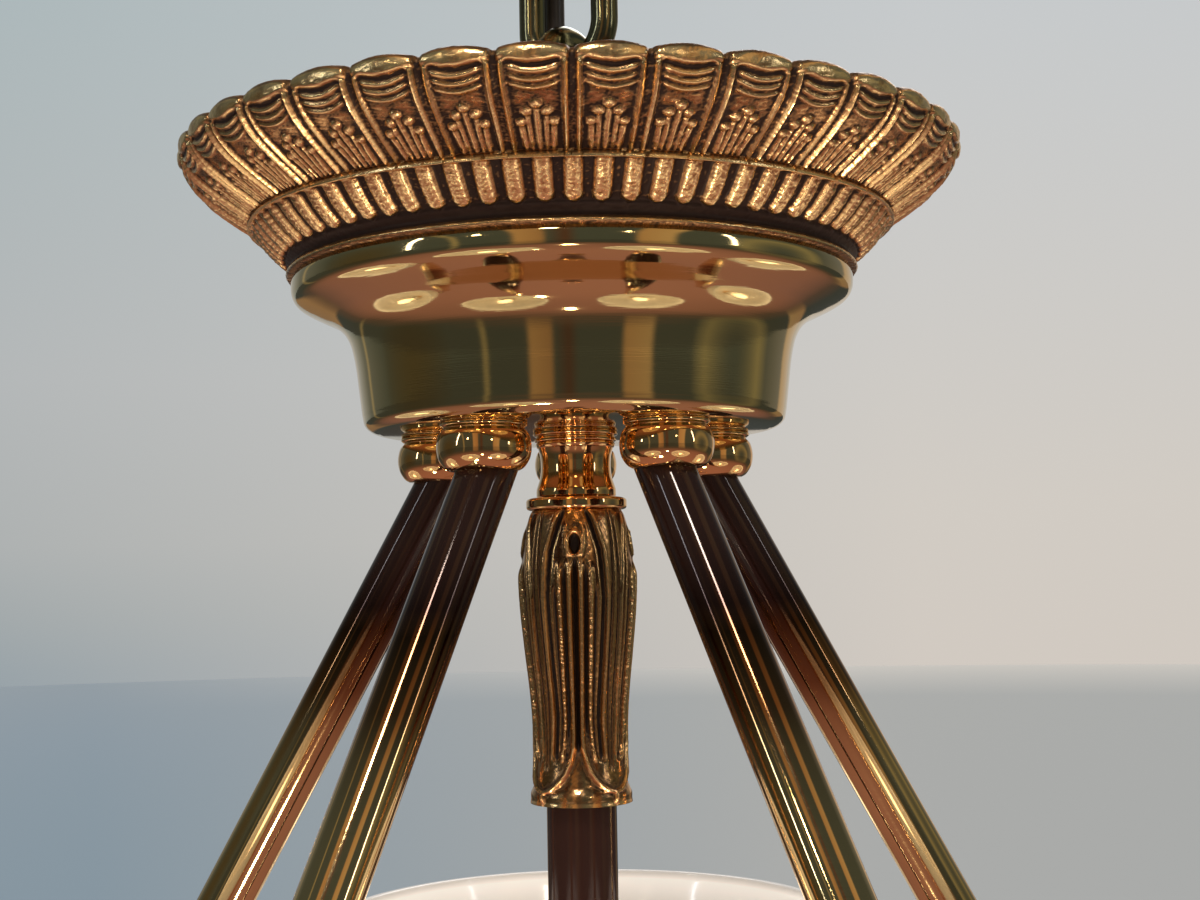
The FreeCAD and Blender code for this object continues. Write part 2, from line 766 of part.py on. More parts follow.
def nodes():
    """Every piece by its node's name."""
    cable_middle_z = (link_top_z + link_bottom_z) / 2
    hub_block_z = plate_z - hub_block_below_plate
    stud_foot_z = finial_z - finial_thread_depth + fit_gap
    pieces = {
        "ceiling_bracket": ceiling_bracket(),
        "hook_nuts": hook_nuts(),
        "ceiling_rose": ceiling_rose(),
        "rose_collar": rose_collar(),
        "rose_grommet": grommet(-rose_height, rose_wall, -1),
        "ceiling_terminal": terminal_block(bracket_foot_z),
        "ceiling_hook": ceiling_hook(),
        "chain_link": chain_link(),
        "supply_cable_upper": cable_run(cable_middle_z, bracket_foot_z - block_height),
        "supply_cable_lower": cable_run(hub_block_z, cable_middle_z),
        "hub_grommet": grommet(plate_top_z, plate_thickness, 1),
        "hub_terminal": terminal_block(hub_block_z),
        "hanging_eye": hanging_eye(),
        "centre_stem": centre_stem(),
        "stem_nuts": stem_nuts(),
        "top_plate": top_plate(),
        "crown_ring": crown_ring(),
        "hub_cup": hub_cup(),
        "neck_ring": beaded(neck_ring_radius, under_z, neck_ring_height),
        "neck_spool": neck_spool(),
        "bead_ring": beaded(bead_radius, bead_z, bead_height),
        "leaf_sleeve": leaf_sleeve(),
        "centre_rod": tube(rod_radius, rod_radius - rod_wall, rod_foot_z, rod_z, middle_sides),
        "rod_bushes": rod_bushes(),
        "lower_collar": beaded(lower_collar_radius, rod_foot_z, lower_collar_height),
        "lower_vase": lower_vase(),
        "finial": finial(),
        "lower_stud": drum(stem_radius, stud_foot_z, rod_foot_z + bush_height),
        "ball_collars": ball_collars(),
        "arm_nipples": arm_nipples(),
        "arm_nuts": arm_nuts(),
        "lamp_nipples": at_each_arm(lamp_nipple(), arm_reach),
        "lamp_holders": at_each_arm(lamp_holder(), arm_reach),
        "shade_rings": at_each_arm(shade_ring(), arm_reach),
        "lamp_bulbs": at_each_arm(lamp_bulb(), arm_reach),
    }
    pieces.update(numbered("arm_tube", arm_tube(), 0))
    pieces.update(numbered("lamp_cup", lamp_cup(), arm_reach))
    pieces.update(numbered("glass_shade", glass_shade(), arm_reach))
    return pieces


os.makedirs("parts", exist_ok=True)
for name, shape in nodes().items():
    shape.exportStep(f"parts/{name}.step")
    print(f"{name}: {len(shape.Solids)} solids, valid {shape.isValid()}, volume {shape.Volume:.0f}")
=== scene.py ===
import math

import bpy
import numpy as np
from mathutils import Matrix, Vector


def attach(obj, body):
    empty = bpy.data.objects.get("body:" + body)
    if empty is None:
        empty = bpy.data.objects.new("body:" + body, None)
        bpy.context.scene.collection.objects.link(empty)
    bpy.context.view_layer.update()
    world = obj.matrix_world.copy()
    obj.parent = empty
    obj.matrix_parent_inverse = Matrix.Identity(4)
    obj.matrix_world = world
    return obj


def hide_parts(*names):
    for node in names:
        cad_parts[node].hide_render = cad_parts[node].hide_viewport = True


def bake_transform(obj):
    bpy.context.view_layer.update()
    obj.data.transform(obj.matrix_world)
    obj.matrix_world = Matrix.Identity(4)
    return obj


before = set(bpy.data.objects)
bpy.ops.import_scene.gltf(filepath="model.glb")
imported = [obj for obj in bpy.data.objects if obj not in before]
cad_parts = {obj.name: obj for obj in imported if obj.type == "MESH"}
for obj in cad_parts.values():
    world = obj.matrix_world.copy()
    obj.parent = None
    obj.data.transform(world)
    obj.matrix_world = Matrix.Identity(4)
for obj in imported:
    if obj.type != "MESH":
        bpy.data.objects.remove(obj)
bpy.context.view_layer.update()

# Sizes are in millimetres here and become metres when a mesh is made.
# The origin is the middle of the ceiling face, +Z is up and the front is -Y.
MM = 0.001

# Heights of the hub, as the solids have them
UNDER = -231.4
CROWN = UNDER + 44.0
BALL_FOOT = UNDER - 13.1
SPOOL = UNDER - 3.1
BEAD = SPOOL - 16.0
SLEEVE = BEAD - 3.7
SLEEVE_LENGTH = 83.1
ROD = SLEEVE - 15.0
ROD_FOOT = ROD - 260.0
VASE = ROD_FOOT - 4.0
FINIAL = VASE - 46.0
# Where the dark lacquer of the arms fades out
FADE_HIGH, FADE_LOW = UNDER - 16.0, UNDER - 112.0
ARM_AZIMUTHS = [36.0 + 72.0 * i for i in range(5)]
# The crown's lobes, and how far they are turned from the front
LOBES = 38
LOBE_TURN = math.radians(0.4)
# Radii of the bores for the middle stem and for the arms' nipples
STEM_BORE, NIPPLE_BORE = 5.1, 5.05
# Outer and inner radii of the rod and the arms
ROD_RADIUS, ROD_BORE = 10.0, 8.0
ARM_RADIUS, ARM_BORE = 8.0, 6.5
# Radii of the chain's wire and of the cable, and the columns round the wire
WIRE, CABLE_RADIUS = 4.0, 3.0
WIRE_COLUMNS = 28
# A radius that stands for none, where a turned form closes on the axis
AXIS = 0.02


# Meshes

def full_turn(count):
    """Angles once round, evenly spaced."""
    return np.linspace(0, 2 * np.pi, count, endpoint=False)


def grid(points):
    """Vertices and outward quads of a grid of points whose rows and columns close on themselves."""
    rows, columns, _ = points.shape
    low = np.arange(rows * columns).reshape(rows, columns)
    high = np.roll(low, -1, 0)
    quads = np.stack([low, np.roll(low, -1, 1), np.roll(high, -1, 1), high], -1).reshape(-1, 4)
    points = points.reshape(-1, 3)
    a, b, c, d = (points[quads[:, i]] for i in range(4))
    volume = np.einsum("ij,ij->i", a, np.cross(b, c)).sum()
    volume += np.einsum("ij,ij->i", a, np.cross(c, d)).sum()
    return points, quads if volume > 0 else quads[:, ::-1]


def joined(parts):
    """Several sets of vertices and quads as one."""
    points, quads, count = [], [], 0
    for part_points, part_quads in parts:
        points.append(part_points)
        quads.append(part_quads + count)
        count += len(part_points)
    return np.concatenate(points), np.concatenate(quads)


def linked(name, data):
    """A new object in the scene."""
    piece = bpy.data.objects.new(name, data)
    bpy.context.scene.collection.objects.link(piece)
    return piece


def shaped(name, part, material, values=None, sharp_deg=32):
    """A smooth object from vertices and quads, with values at its vertices."""
    points, quads = part
    mesh = bpy.data.meshes.new(name)
    mesh.vertices.add(len(points))
    mesh.vertices.foreach_set("co", (points * MM).astype(np.float32).ravel())
    mesh.loops.add(quads.size)
    mesh.loops.foreach_set("vertex_index", quads.astype(np.int32).ravel())
    mesh.polygons.add(len(quads))
    mesh.polygons.foreach_set("loop_start", np.arange(0, quads.size, 4, dtype=np.int32))
    mesh.update(calc_edges=True)
    mesh.validate()
    mesh.polygons.foreach_set("use_smooth", np.ones(len(mesh.polygons), bool))
    mesh.set_sharp_from_angle(angle=math.radians(sharp_deg))
    for key, value in (values or {}).items():
        attribute = mesh.attributes.new(key, "FLOAT", "POINT")
        attribute.data.foreach_set("value", value.astype(np.float32).ravel())
    mesh.materials.append(material)
    return linked(name, mesh)


def build(name, part, body, material, nodes, values=None, sharp_deg=32):
    """A shaped piece that moves with a body, in place of CAD nodes."""
    piece = shaped(name, part, material, values, sharp_deg)
    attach(piece, body)
    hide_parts(*nodes)


def lathe(outline, columns):
    """A turned form from its closed outline of (radius, height)."""
    outline = np.array(outline, float)
    turn = full_turn(columns)
    radius = outline[:, 0][:, None]
    height = np.repeat(outline[:, 1][:, None], columns, 1)
    return grid(np.stack([radius * np.sin(turn), -radius * np.cos(turn), height], -1))


def moved(part, radius, azimuth_deg):
    """A form made on the Z axis, moved out to a radius at an azimuth."""
    points, quads = part
    turn = math.radians(azimuth_deg)
    out = points + np.array([0, -radius, 0])
    x = out[:, 0] * math.cos(turn) - out[:, 1] * math.sin(turn)
    y = out[:, 0] * math.sin(turn) + out[:, 1] * math.cos(turn)
    return np.stack([x, y, out[:, 2]], -1), quads


def at_each_arm(part, radius):
    """A form made on the Z axis, five times, out on the arms."""
    return joined([moved(part, radius, azimuth) for azimuth in ARM_AZIMUTHS])


# Degrees of a rounding that one straight stands for
ARC_STEP = 12


def rounded(corners):
    """An outline from corners (radius, height, rounding): each corner becomes an arc of its rounding."""
    corners = [tuple(c) + (0,) * (3 - len(c)) for c in corners]
    count = len(corners)
    outline = []
    for i, (r, z, rounding) in enumerate(corners):
        here = np.array([r, z], float)
        back = np.array(corners[i - 1][:2], float) - here
        ahead = np.array(corners[(i + 1) % count][:2], float) - here
        back_length, ahead_length = np.linalg.norm(back), np.linalg.norm(ahead)
        if rounding <= 0 or back_length == 0 or ahead_length == 0:
            outline.append(tuple(here))
            continue
        back, ahead = back / back_length, ahead / ahead_length
        if abs(back @ ahead) > 0.999:
            outline.append(tuple(here))
            continue
        half = math.acos(max(-1, min(1, float(back @ ahead)))) / 2
        cut = rounding / math.tan(half)
        room = 0.49 * min(back_length, ahead_length)
        if cut > room:
            rounding *= room / cut
            cut = room
        middle = (back + ahead) / np.linalg.norm(back + ahead) * (rounding / math.sin(half)) + here
        first = here + back * cut - middle
        last = here + ahead * cut - middle
        start = math.atan2(first[1], first[0])
        sweep = (math.atan2(last[1], last[0]) - start + math.pi) % (2 * math.pi) - math.pi
        steps = max(2, int(abs(math.degrees(sweep)) / ARC_STEP) + 1)
        for k in range(steps + 1):
            turn = start + sweep * k / steps
            outline.append(tuple(middle + rounding * np.array([math.cos(turn), math.sin(turn)])))
    return outline


def spline(points, step):
    """A smooth run through points, about a step apart."""
    p = np.array(points, float)
    ends = np.vstack([2 * p[0] - p[1], p, 2 * p[-1] - p[-2]])
    run = []
    for i in range(len(p) - 1):
        a, b, c, d = ends[i:i + 4]
        count = max(2, int(np.linalg.norm(c - b) / step) + 1)
        for k in range(count):
            t = k / count
            run.append(0.5 * (2 * b + (c - a) * t + (2 * a - 5 * b + 4 * c - d) * t ** 2
                              + (3 * b - a - 3 * c + d) * t ** 3))
    run.append(p[-1])
    return [tuple(v) for v in run]


def circle(middle, across, up, radius, turn):
    """Points round a middle, in the plane of two directions."""
    return middle + across * (radius * np.cos(turn))[:, None] + up * (radius * np.sin(turn))[:, None]


def swept(stations, radius, columns, inner=None):
    """A round bar through stations of (middle, across, up), a ring unless it has an inner radius."""
    turn = full_turn(columns)
    rows = [circle(*station, radius, turn) for station in stations]
    if inner is not None:
        rows += [circle(*station, inner, turn) for station in stations[::-1]]
    return grid(np.array(rows))


def smooth_step(value, low, high):
    share = np.clip((value - low) / (high - low), 0, 1)
    return share * share * (3 - 2 * share)


def ridge(distance, width):
    """A rounded ridge, 1 on its crest."""
    return np.exp(-(distance / width) ** 2)


def smoothed(height, rows, columns):
    """A relief with its small forms smoothed away, over so many rows and columns each way."""
    for _ in range(2):
        height = sum(np.roll(height, k, 1) for k in range(-columns, columns + 1)) / (2 * columns + 1)
        padded = np.pad(height, ((rows, rows), (0, 0)), "edge")
        height = sum(padded[k:k + len(height)] for k in range(2 * rows + 1)) / (2 * rows + 1)
    return height


def mottle(x, y, seed):
    """Smooth unevenness of about -1 to 1 from a few crossed waves."""
    source = np.random.default_rng(seed)
    total = np.zeros_like(x)
    for _ in range(14):
        angle = source.uniform(0, 2 * np.pi)
        scale = source.uniform(1.6, 6.5)
        total += np.sin((x * math.cos(angle) + y * math.sin(angle)) * scale + source.uniform(0, 6.28))
    return total / 5


# Materials

def material_nodes(name):
    material = bpy.data.materials.new(name)
    material.use_nodes = True
    tree = material.node_tree
    return material, tree, tree.nodes["Principled BSDF"]


def noise_node(tree, scale, detail, stretch=(1, 1, 1)):
    coordinates = tree.nodes.new("ShaderNodeTexCoord")
    mapping = tree.nodes.new("ShaderNodeMapping")
    mapping.inputs["Scale"].default_value = stretch
    noise = tree.nodes.new("ShaderNodeTexNoise")
    noise.inputs["Scale"].default_value = scale
    noise.inputs["Detail"].default_value = detail
    tree.links.new(coordinates.outputs["Object"], mapping.inputs["Vector"])
    tree.links.new(mapping.outputs["Vector"], noise.inputs["Vector"])
    return noise.outputs["Fac"]


def ramp_node(tree, source, stops):
    ramp = tree.nodes.new("ShaderNodeValToRGB")
    elements = ramp.color_ramp.elements
    while len(elements) < len(stops):
        elements.new(0.5)
    for element, (position, colour) in zip(elements, stops):
        element.position = position
        element.color = colour + (1,)
    tree.links.new(source, ramp.inputs["Fac"])
    return ramp.outputs["Color"]


def grey(value):
    return (value, value, value)


def axis_parts(tree, vector):
    """The X, Y and Z of a vector, as outputs."""
    parts = tree.nodes.new("ShaderNodeSeparateXYZ")
    tree.links.new(vector, parts.inputs["Vector"])
    return parts.outputs


def reckoned(tree, operation, *values):
    """A number reckoned from numbers and nodes' outputs."""
    node = tree.nodes.new("ShaderNodeMath")
    node.operation = operation
    for socket, value in zip(node.inputs, values):
        if isinstance(value, float):
            socket.default_value = value
        else:
            tree.links.new(value, socket)
    return node.outputs[0]


def shifted(tree, source):
    """A direction's part of -1 to 1 as a share of 0 to 1."""
    node = tree.nodes.new("ShaderNodeMapRange")
    node.inputs["From Min"].default_value = -1
    node.inputs["From Max"].default_value = 1
    tree.links.new(source, node.inputs["Value"])
    return node.outputs["Result"]


def mixed(tree, factor, first, second):
    """Two colours, each a tuple or a node's output, mixed by a factor."""
    node = tree.nodes.new("ShaderNodeMixRGB")
    tree.links.new(factor, node.inputs["Fac"])
    for key, value in (("Color1", first), ("Color2", second)):
        if isinstance(value, tuple):
            node.inputs[key].default_value = value
        else:
            tree.links.new(value, node.inputs[key])
    return node.outputs["Color"]


def add_bump(tree, shader, source, strength, distance):
    bump = tree.nodes.new("ShaderNodeBump")
    bump.inputs["Strength"].default_value = strength
    bump.inputs["Distance"].default_value = distance
    tree.links.new(source, bump.inputs["Height"])
    tree.links.new(bump.outputs["Normal"], shader.inputs["Normal"])


# How much of its brightness the brass keeps where it is tarnished, and its colour under a thin coat of
# the arms' dark lacquer
TARNISH = 0.85
BROWNED = (0.34, 0.17, 0.07, 1)


def polished(name, colour, roughness, ring_bump, upper=None):
    """Polished, lacquered brass with fine turning lines around Z and a faint uneven tone.

    Where an upper colour is given, a dark lacquer of that colour fades out down the arms.
    """
    material, tree, shader = material_nodes(name)
    shader.inputs["Metallic"].default_value = 1.0
    tone = noise_node(tree, 9, 4)
    dark = tuple(c * TARNISH for c in colour)
    base = ramp_node(tree, tone, [(0.35, dark), (0.65, colour)])
    if upper:
        coordinates = tree.nodes.new("ShaderNodeTexCoord")
        parts = axis_parts(tree, coordinates.outputs["Object"])
        height = tree.nodes.new("ShaderNodeMapRange")
        height.inputs["From Min"].default_value = FADE_LOW * MM
        height.inputs["From Max"].default_value = FADE_HIGH * MM
        height.interpolation_type = "SMOOTHSTEP"
        tree.links.new(parts["Z"], height.inputs["Value"])
        thin = ramp_node(tree, height.outputs["Result"], [(0, grey(0)), (0.34, grey(1))])
        base = mixed(tree, thin, base, BROWNED)
        thick = ramp_node(tree, height.outputs["Result"], [(0.2, grey(0)), (0.72, grey(1))])
        base = mixed(tree, thick, base, upper + (1,))
        metal = ramp_node(tree, height.outputs["Result"], [(0.62, grey(1)), (0.95, grey(0.2))])
        tree.links.new(metal, shader.inputs["Metallic"])
    tree.links.new(base, shader.inputs["Base Color"])
    lines = noise_node(tree, 60, 2, (1, 1, 70))
    rough = ramp_node(tree, lines, [(0.3, grey(roughness * 0.7)), (0.7, grey(roughness * 1.3))])
    tree.links.new(rough, shader.inputs["Roughness"])
    add_bump(tree, shader, lines, ring_bump, 0.0002)
    return material


def cast(name, recess, field, crest, smooth, grain):
    """Patinated casting: dark where it is deep and rubbed bright on its crests, as a value at its vertices
    says; on the crown's lip that value also holds a painted highlight and a painted dark reflection.
    """
    material, tree, shader = material_nodes(name)
    wear_and_painted_light = tree.nodes.new("ShaderNodeAttribute")
    wear_and_painted_light.attribute_name = "wear_and_painted_light"
    speckle, speckle_depth = noise_node(tree, 900, 4), 0.28
    lowered = reckoned(tree, "SUBTRACT", wear_and_painted_light.outputs["Fac"], speckle_depth / 2)
    rubbed = reckoned(tree, "MULTIPLY_ADD", speckle, speckle_depth, lowered)
    colours = ramp_node(tree, rubbed, [(0.08, recess), (0.34, field), (0.72, crest)])
    tree.links.new(colours, shader.inputs["Base Color"])
    rough = ramp_node(tree, rubbed, [(0.08, grey(0.5)), (0.30, grey(smooth))])
    tree.links.new(rough, shader.inputs["Roughness"])
    metal = ramp_node(tree, rubbed, [(0.05, grey(0.5)), (0.3, grey(1.0))])
    tree.links.new(metal, shader.inputs["Metallic"])
    add_bump(tree, shader, speckle, grain, 0.00012)
    return material


def plain(name, colour, metallic, roughness, scale=120, tone=0.9):
    """A plain surface with a faint uneven tone."""
    material, tree, shader = material_nodes(name)
    shader.inputs["Metallic"].default_value = metallic
    shader.inputs["Roughness"].default_value = roughness
    noise = noise_node(tree, scale, 3)
    base = ramp_node(tree, noise, [(0.3, tuple(c * tone for c in colour)), (0.7, colour)])
    tree.links.new(base, shader.inputs["Base Color"])
    return material


def lit_glass(name, colour, glow, strength):
    """Opal glass that is lit from inside, as strongly as its vertices' glow says."""
    material = plain(name, colour, 0.0, 0.12, 14, 0.97)
    tree = material.node_tree
    shader = tree.nodes["Principled BSDF"]
    near = tree.nodes.new("ShaderNodeAttribute")
    near.attribute_name = "glow"
    scaled = reckoned(tree, "MULTIPLY", near.outputs["Fac"], strength)
    tree.links.new(scaled, shader.inputs["Emission Strength"])
    shader.inputs["Emission Color"].default_value = glow + (1,)
    shader.inputs["Coat Weight"].default_value = 0.4
    shader.inputs["Coat Roughness"].default_value = 0.05
    return material


spun_brass = polished("spun_brass", (0.80, 0.61, 0.30), 0.06, 0.05)
turned_brass = polished("turned_brass", (0.92, 0.58, 0.26), 0.06, 0.03)
tube_brass = polished("tube_brass", (0.84, 0.60, 0.29), 0.07, 0.02, upper=(0.028, 0.012, 0.009))
rod_lacquer = plain("rod_lacquer", (0.045, 0.018, 0.013), 0.10, 0.10, 30, 0.85)
chain_bronze = polished("chain_bronze", (0.24, 0.22, 0.13), 0.16, 0.02)
crown_bronze = cast("crown_bronze", recess=(0.035, 0.017, 0.011), field=(0.48, 0.26, 0.115),
                    crest=(1.0, 0.72, 0.36), smooth=0.27, grain=0.6)
sleeve_bronze = cast("sleeve_bronze", recess=(0.018, 0.009, 0.006), field=(0.38, 0.205, 0.09),
                     crest=(0.98, 0.62, 0.29), smooth=0.19, grain=0.25)
steel = plain("zinc_steel", (0.55, 0.55, 0.54), 1.0, 0.35)
opal = lit_glass("opal_glass", (0.73, 0.67, 0.61), (1.0, 0.94, 0.85), 1.0)
bulb_lit = lit_glass("bulb_glass", (0.95, 0.93, 0.88), (1.0, 0.80, 0.58), 2.6)
ceramic = plain("holder_glaze", (0.86, 0.83, 0.76), 0.0, 0.2)
rubber = plain("grommet_rubber", (0.02, 0.02, 0.02), 0.0, 0.6)
terminal = plain("terminal_plastic", (0.80, 0.78, 0.72), 0.0, 0.45)
sheath = plain("cable_sheath", (0.035, 0.024, 0.018), 0.0, 0.35)


# The crown

# Its outside from the foot over the lip, and its inside back down, as (radius, height), with the waist
# where the lobes meet the ribbed band
WAIST = (92.9, 14.4)
CROWN_LINE = [(82.0, 0.0), (82.25, 0.6), (81.6, 1.9), (83.6, 4.2), (88.3, 8.6), (91.6, 12.6), WAIST,
              (96.2, 16.6), (101.5, 20.2), (107.0, 24.6), (110.4, 29.0), (111.6, 32.4),
              (111.5, 34.4), (110.2, 35.5), (108.3, 35.3), (106.7, 33.6)]
CROWN_INSIDE = [(103.6, 29.0), (97.6, 22.4), (89.4, 14.6), (84.0, 9.2), (79.2, 4.7), (78.6, 4.4),
                (70.6, 4.4), (70.2, 4.2), (70.0, 3.8), (70.0, 0.4), (70.4, 0.0)]
# How deep the ground between a lobe's ornaments lies
GROUND = -1.5
# Up from the waist: where a lobe's lip starts, is full and rolls over
LIP_START, LIP_FULL, LIP_ROLL = 24.4, 25.8, 28.4
# Down from the waist: the end of the ribs, the top and foot of the cove under them, and the foot bead
RIB_END, COVE_TOP, COVE_FOOT, FOOT_BEAD = 11.6, 13.4, 17.0, 17.8
# Half a rib's width, its height, and how deep the ground between the ribs lies
RIB_HALF, RIB_HEIGHT, RIB_GROUND = 2.5, 1.6, -1.75
# Bowed folds under the lip as (way up, size, width)
FOLDS = ((22.9, 0.90, 0.74), (20.8, 0.85, 0.68), (18.8, 0.75, 0.62))
# A spray of five buds as (share across the lobe, way up, radius)
BUDS = ((0.0, 14.2, 1.6), (-0.135, 12.0, 1.5), (0.135, 12.0, 1.5), (-0.24, 8.8, 1.45), (0.24, 8.8, 1.45))
# Their stems as (share across at the foot, share across at the head, head's way up, width)
STEMS = ((0.0, 0.0, 13.0, 0.85), (-0.11, -0.135, 10.8, 0.55), (0.11, 0.135, 10.8, 0.55),
         (-0.21, -0.24, 7.8, 0.66), (0.21, 0.24, 7.8, 0.66))


def lobe_relief(share, along, pitch):
    """Height of the lobes' ornament over the casting's envelope, across a lobe and up from the waist."""
    side = np.abs(share)
    ramp = smooth_step(along, 0.2, 3.0)
    lip = smooth_step(along - 1.3 * (np.minimum(side, 0.36) / 0.33) ** 2, LIP_START, LIP_FULL)
    # Each lobe swells between its grooves, most at the lip
    swell = (1 - (2 * side) ** 2) * smooth_step(along, 6.0, 28.0)
    ground = GROUND + swell
    strip = ridge(side - 0.404, 0.036)
    strip *= (1 - smooth_step(along, 25.5, 27.0)) * smooth_step(along, -0.2, 0.6)
    # The strips turn inward under the lip and meet it
    bow = np.hypot((side - 0.30) / 0.105, (along - 24.9) / 1.75)
    corner = ridge(bow - 1, 0.34) * smooth_step(side, 0.27, 0.31) * smooth_step(along, 23.9, 25.1)
    height = ground + np.maximum(1.35 * strip, corner * (1 - lip))
    groove = smooth_step(side, 0.442, 0.472)
    height -= (0.8 + 0.9 * smooth_step(along, 12, 26)) * groove * ramp
    height += 0.40 * ridge(side - 0.5, 0.014) * ramp
    for middle, size, width in FOLDS:
        line = middle + 1.5 * (share / 0.33) ** 2
        window = 1 - smooth_step(side, 0.29, 0.36)
        height += size * ridge(along - line, width) * window * (1 - lip)
    # The lip rolls over, fullest in the middle of the lobe
    height += lip * (1.15 - 0.7 * groove)
    for bud_share, bud_along, size in BUDS:
        reach = ((share - bud_share) * pitch) ** 2 + (along - bud_along) ** 2
        bud = np.clip(1 - reach / size ** 2, 0, 1) ** 0.6
        height = np.maximum(height, ground + bud)
    for foot_share, head_share, head, width in STEMS:
        climb = np.clip(along / head, 0, 1)
        centre = foot_share + (head_share - foot_share) * climb ** 2
        stem = ridge((share - centre) * pitch, width) * (1 - smooth_step(along, head - 0.4, head + 0.2))
        stem *= smooth_step(along, -0.2, 0.7)
        height = np.maximum(height, ground + 0.9 * stem)
    return height


def band_relief(share, along, pitch):
    """Height of the ribs and two beads below the waist, where along is negative, and each form's share."""
    rib_share = (share * 2 + 0.5) % 1 - 0.5
    x = rib_share * pitch / 2
    end = np.clip(-RIB_END - along, 0, None)
    reach = np.sqrt(x ** 2 + end ** 2) / RIB_HALF
    rib = np.clip(1 - reach ** 3, 0, 1) ** 0.6 * (along < -1.0)
    height = RIB_GROUND + RIB_HEIGHT * rib
    height *= smooth_step(-along, 0.6, 1.6)
    cove = smooth_step(-along, COVE_TOP, COVE_TOP + 1.0)
    height = height * (1 - cove) - 1.1 * cove * (1 - smooth_step(-along, COVE_FOOT - 0.8, COVE_FOOT))
    waist = np.clip(1 - ((along + 0.45) / 0.7) ** 2, 0, 1) ** 0.5
    foot = np.clip(1 - ((along + FOOT_BEAD) / 0.8) ** 2, 0, 1) ** 0.5
    return height + 0.75 * waist + 0.4 * foot, waist, foot, rib


def crown_mesh():
    """The crown's vertices and quads, and each vertex's wear, which on the lip also holds a painted
    highlight and a painted dark reflection.
    """
    columns_per_lobe = 34
    line = np.array(spline(CROWN_LINE, 0.30))
    inside = np.array(spline(CROWN_INSIDE, 3.0))
    steps = np.linalg.norm(np.diff(line, axis=0), axis=1)
    along = np.concatenate([[0], np.cumsum(steps)])
    waist = along[np.argmin(np.abs(line[:, 0] - WAIST[0]) + np.abs(line[:, 1] - WAIST[1]))]
    along = along - waist
    tangent = np.gradient(line, axis=0)
    tangent /= np.linalg.norm(tangent, axis=1)[:, None]
    normal = np.stack([tangent[:, 1], -tangent[:, 0]], 1)
    share = (np.arange(columns_per_lobe) + 0.5) / columns_per_lobe - 0.5
    # Closer columns where the strips and grooves are
    share = share - 0.055 * np.sin(4 * np.pi * share) / 2
    share = np.tile(share, LOBES)
    lobe = np.repeat(np.arange(LOBES), columns_per_lobe)
    turn = LOBE_TURN + (lobe + 0.5 + share) * 2 * np.pi / LOBES
    pitch = 2 * np.pi * line[:, 0] / LOBES
    across, up, wide = np.broadcast_arrays(share[None, :], along[:, None], pitch[:, None])
    lobes = lobe_relief(across, up, wide)
    band, waist_bead, foot_bead, ribs = band_relief(across, up, wide)
    upper = smooth_step(up, -0.25, 0.25)
    height = lobes * upper + band * (1 - upper)
    # Past the lip the relief fades into the plain inside
    fade = 1 - smooth_step(up, LIP_ROLL + 1.0, LIP_ROLL + 5.0)
    rough = mottle(turn[None, :] * line[:, 0][:, None], up, 5)
    height = (height + rough * (0.07 + 0.06 * ribs * (1 - upper))) * fade
    # What stands over its surroundings is rubbed bright, and what lies under them stays dark
    wear_and_painted_light = 0.38 + 1.15 * (height - smoothed(height, 4, 2)) + 0.08 * rough
    wear_and_painted_light += 0.16 * ribs * (1 - upper)
    cove = smooth_step(-up, COVE_TOP - 0.4, COVE_TOP + 0.4)
    cove = cove * (1 - smooth_step(-up, COVE_FOOT - 0.2, COVE_FOOT + 0.2))
    wear_and_painted_light = np.maximum(wear_and_painted_light * (1 - cove), 0.95 * np.maximum(waist_bead, foot_bead))
    # Painted on the lip: a highlight at each lobe's two shoulders, and a dark painted reflection on top
    # where it rolls over
    lip = smooth_step(up, LIP_FULL, LIP_FULL + 0.8)
    painted_shoulder_highlight = 0.56 + 0.44 * ridge(np.abs(across) - 0.25, 0.12) + 0.12 * rough
    wear_and_painted_light = wear_and_painted_light * (1 - lip) + lip * painted_shoulder_highlight * (1 - smooth_step(np.abs(across), 0.42, 0.48))
    # Where the lip rolls over, its top is painted dark, a painted reflection
    painted_dark_top = smooth_step(up, LIP_ROLL, LIP_ROLL + 1.0)
    wear_and_painted_light = np.clip(wear_and_painted_light * (1 - painted_dark_top) + 0.18 * painted_dark_top, 0, 1)
    drop = 0.7 * (2 * np.abs(across)) ** 2 * smooth_step(up, 23, 28) * fade
    radius = line[:, 0][:, None] + normal[:, 0][:, None] * height
    z = line[:, 1][:, None] + normal[:, 1][:, None] * height - drop
    radius = np.concatenate([radius, np.repeat(inside[:, 0][:, None], len(turn), 1)])
    z = np.concatenate([z, np.repeat(inside[:, 1][:, None], len(turn), 1)])
    wear_and_painted_light = np.concatenate([wear_and_painted_light, np.full((len(inside), len(turn)), 0.22)])
    points = np.stack([radius * np.sin(turn), -radius * np.cos(turn), z + CROWN], -1)
    return grid(points), wear_and_painted_light


# The leaf sleeve

# Its outside as (share of the way down, radius)
SLEEVE_LINE = [(0.0, 13.1), (0.02, 14.0), (0.08, 15.2), (0.2, 16.3), (0.33, 16.0), (0.48, 14.8),
               (0.62, 13.5), (0.72, 12.9), (0.8, 12.85), (0.87, 13.2), (0.93, 14.1), (0.97, 14.7),
               (1.0, 14.6)]
# Degrees from one petals' parting to the next, and how far the partings are turned from the front
PETAL, SLEEVE_TURN = 90, 3.0
# How far the ground between the lines lies in, and the share of the way down at which each eye is
SUNK, EYE_DOWN = 0.25, 0.115
# Half an eye's width, and its reach up and down
EYE_HALF, EYE_UP, EYE_LOW = 1.6, 2.7, 3.5
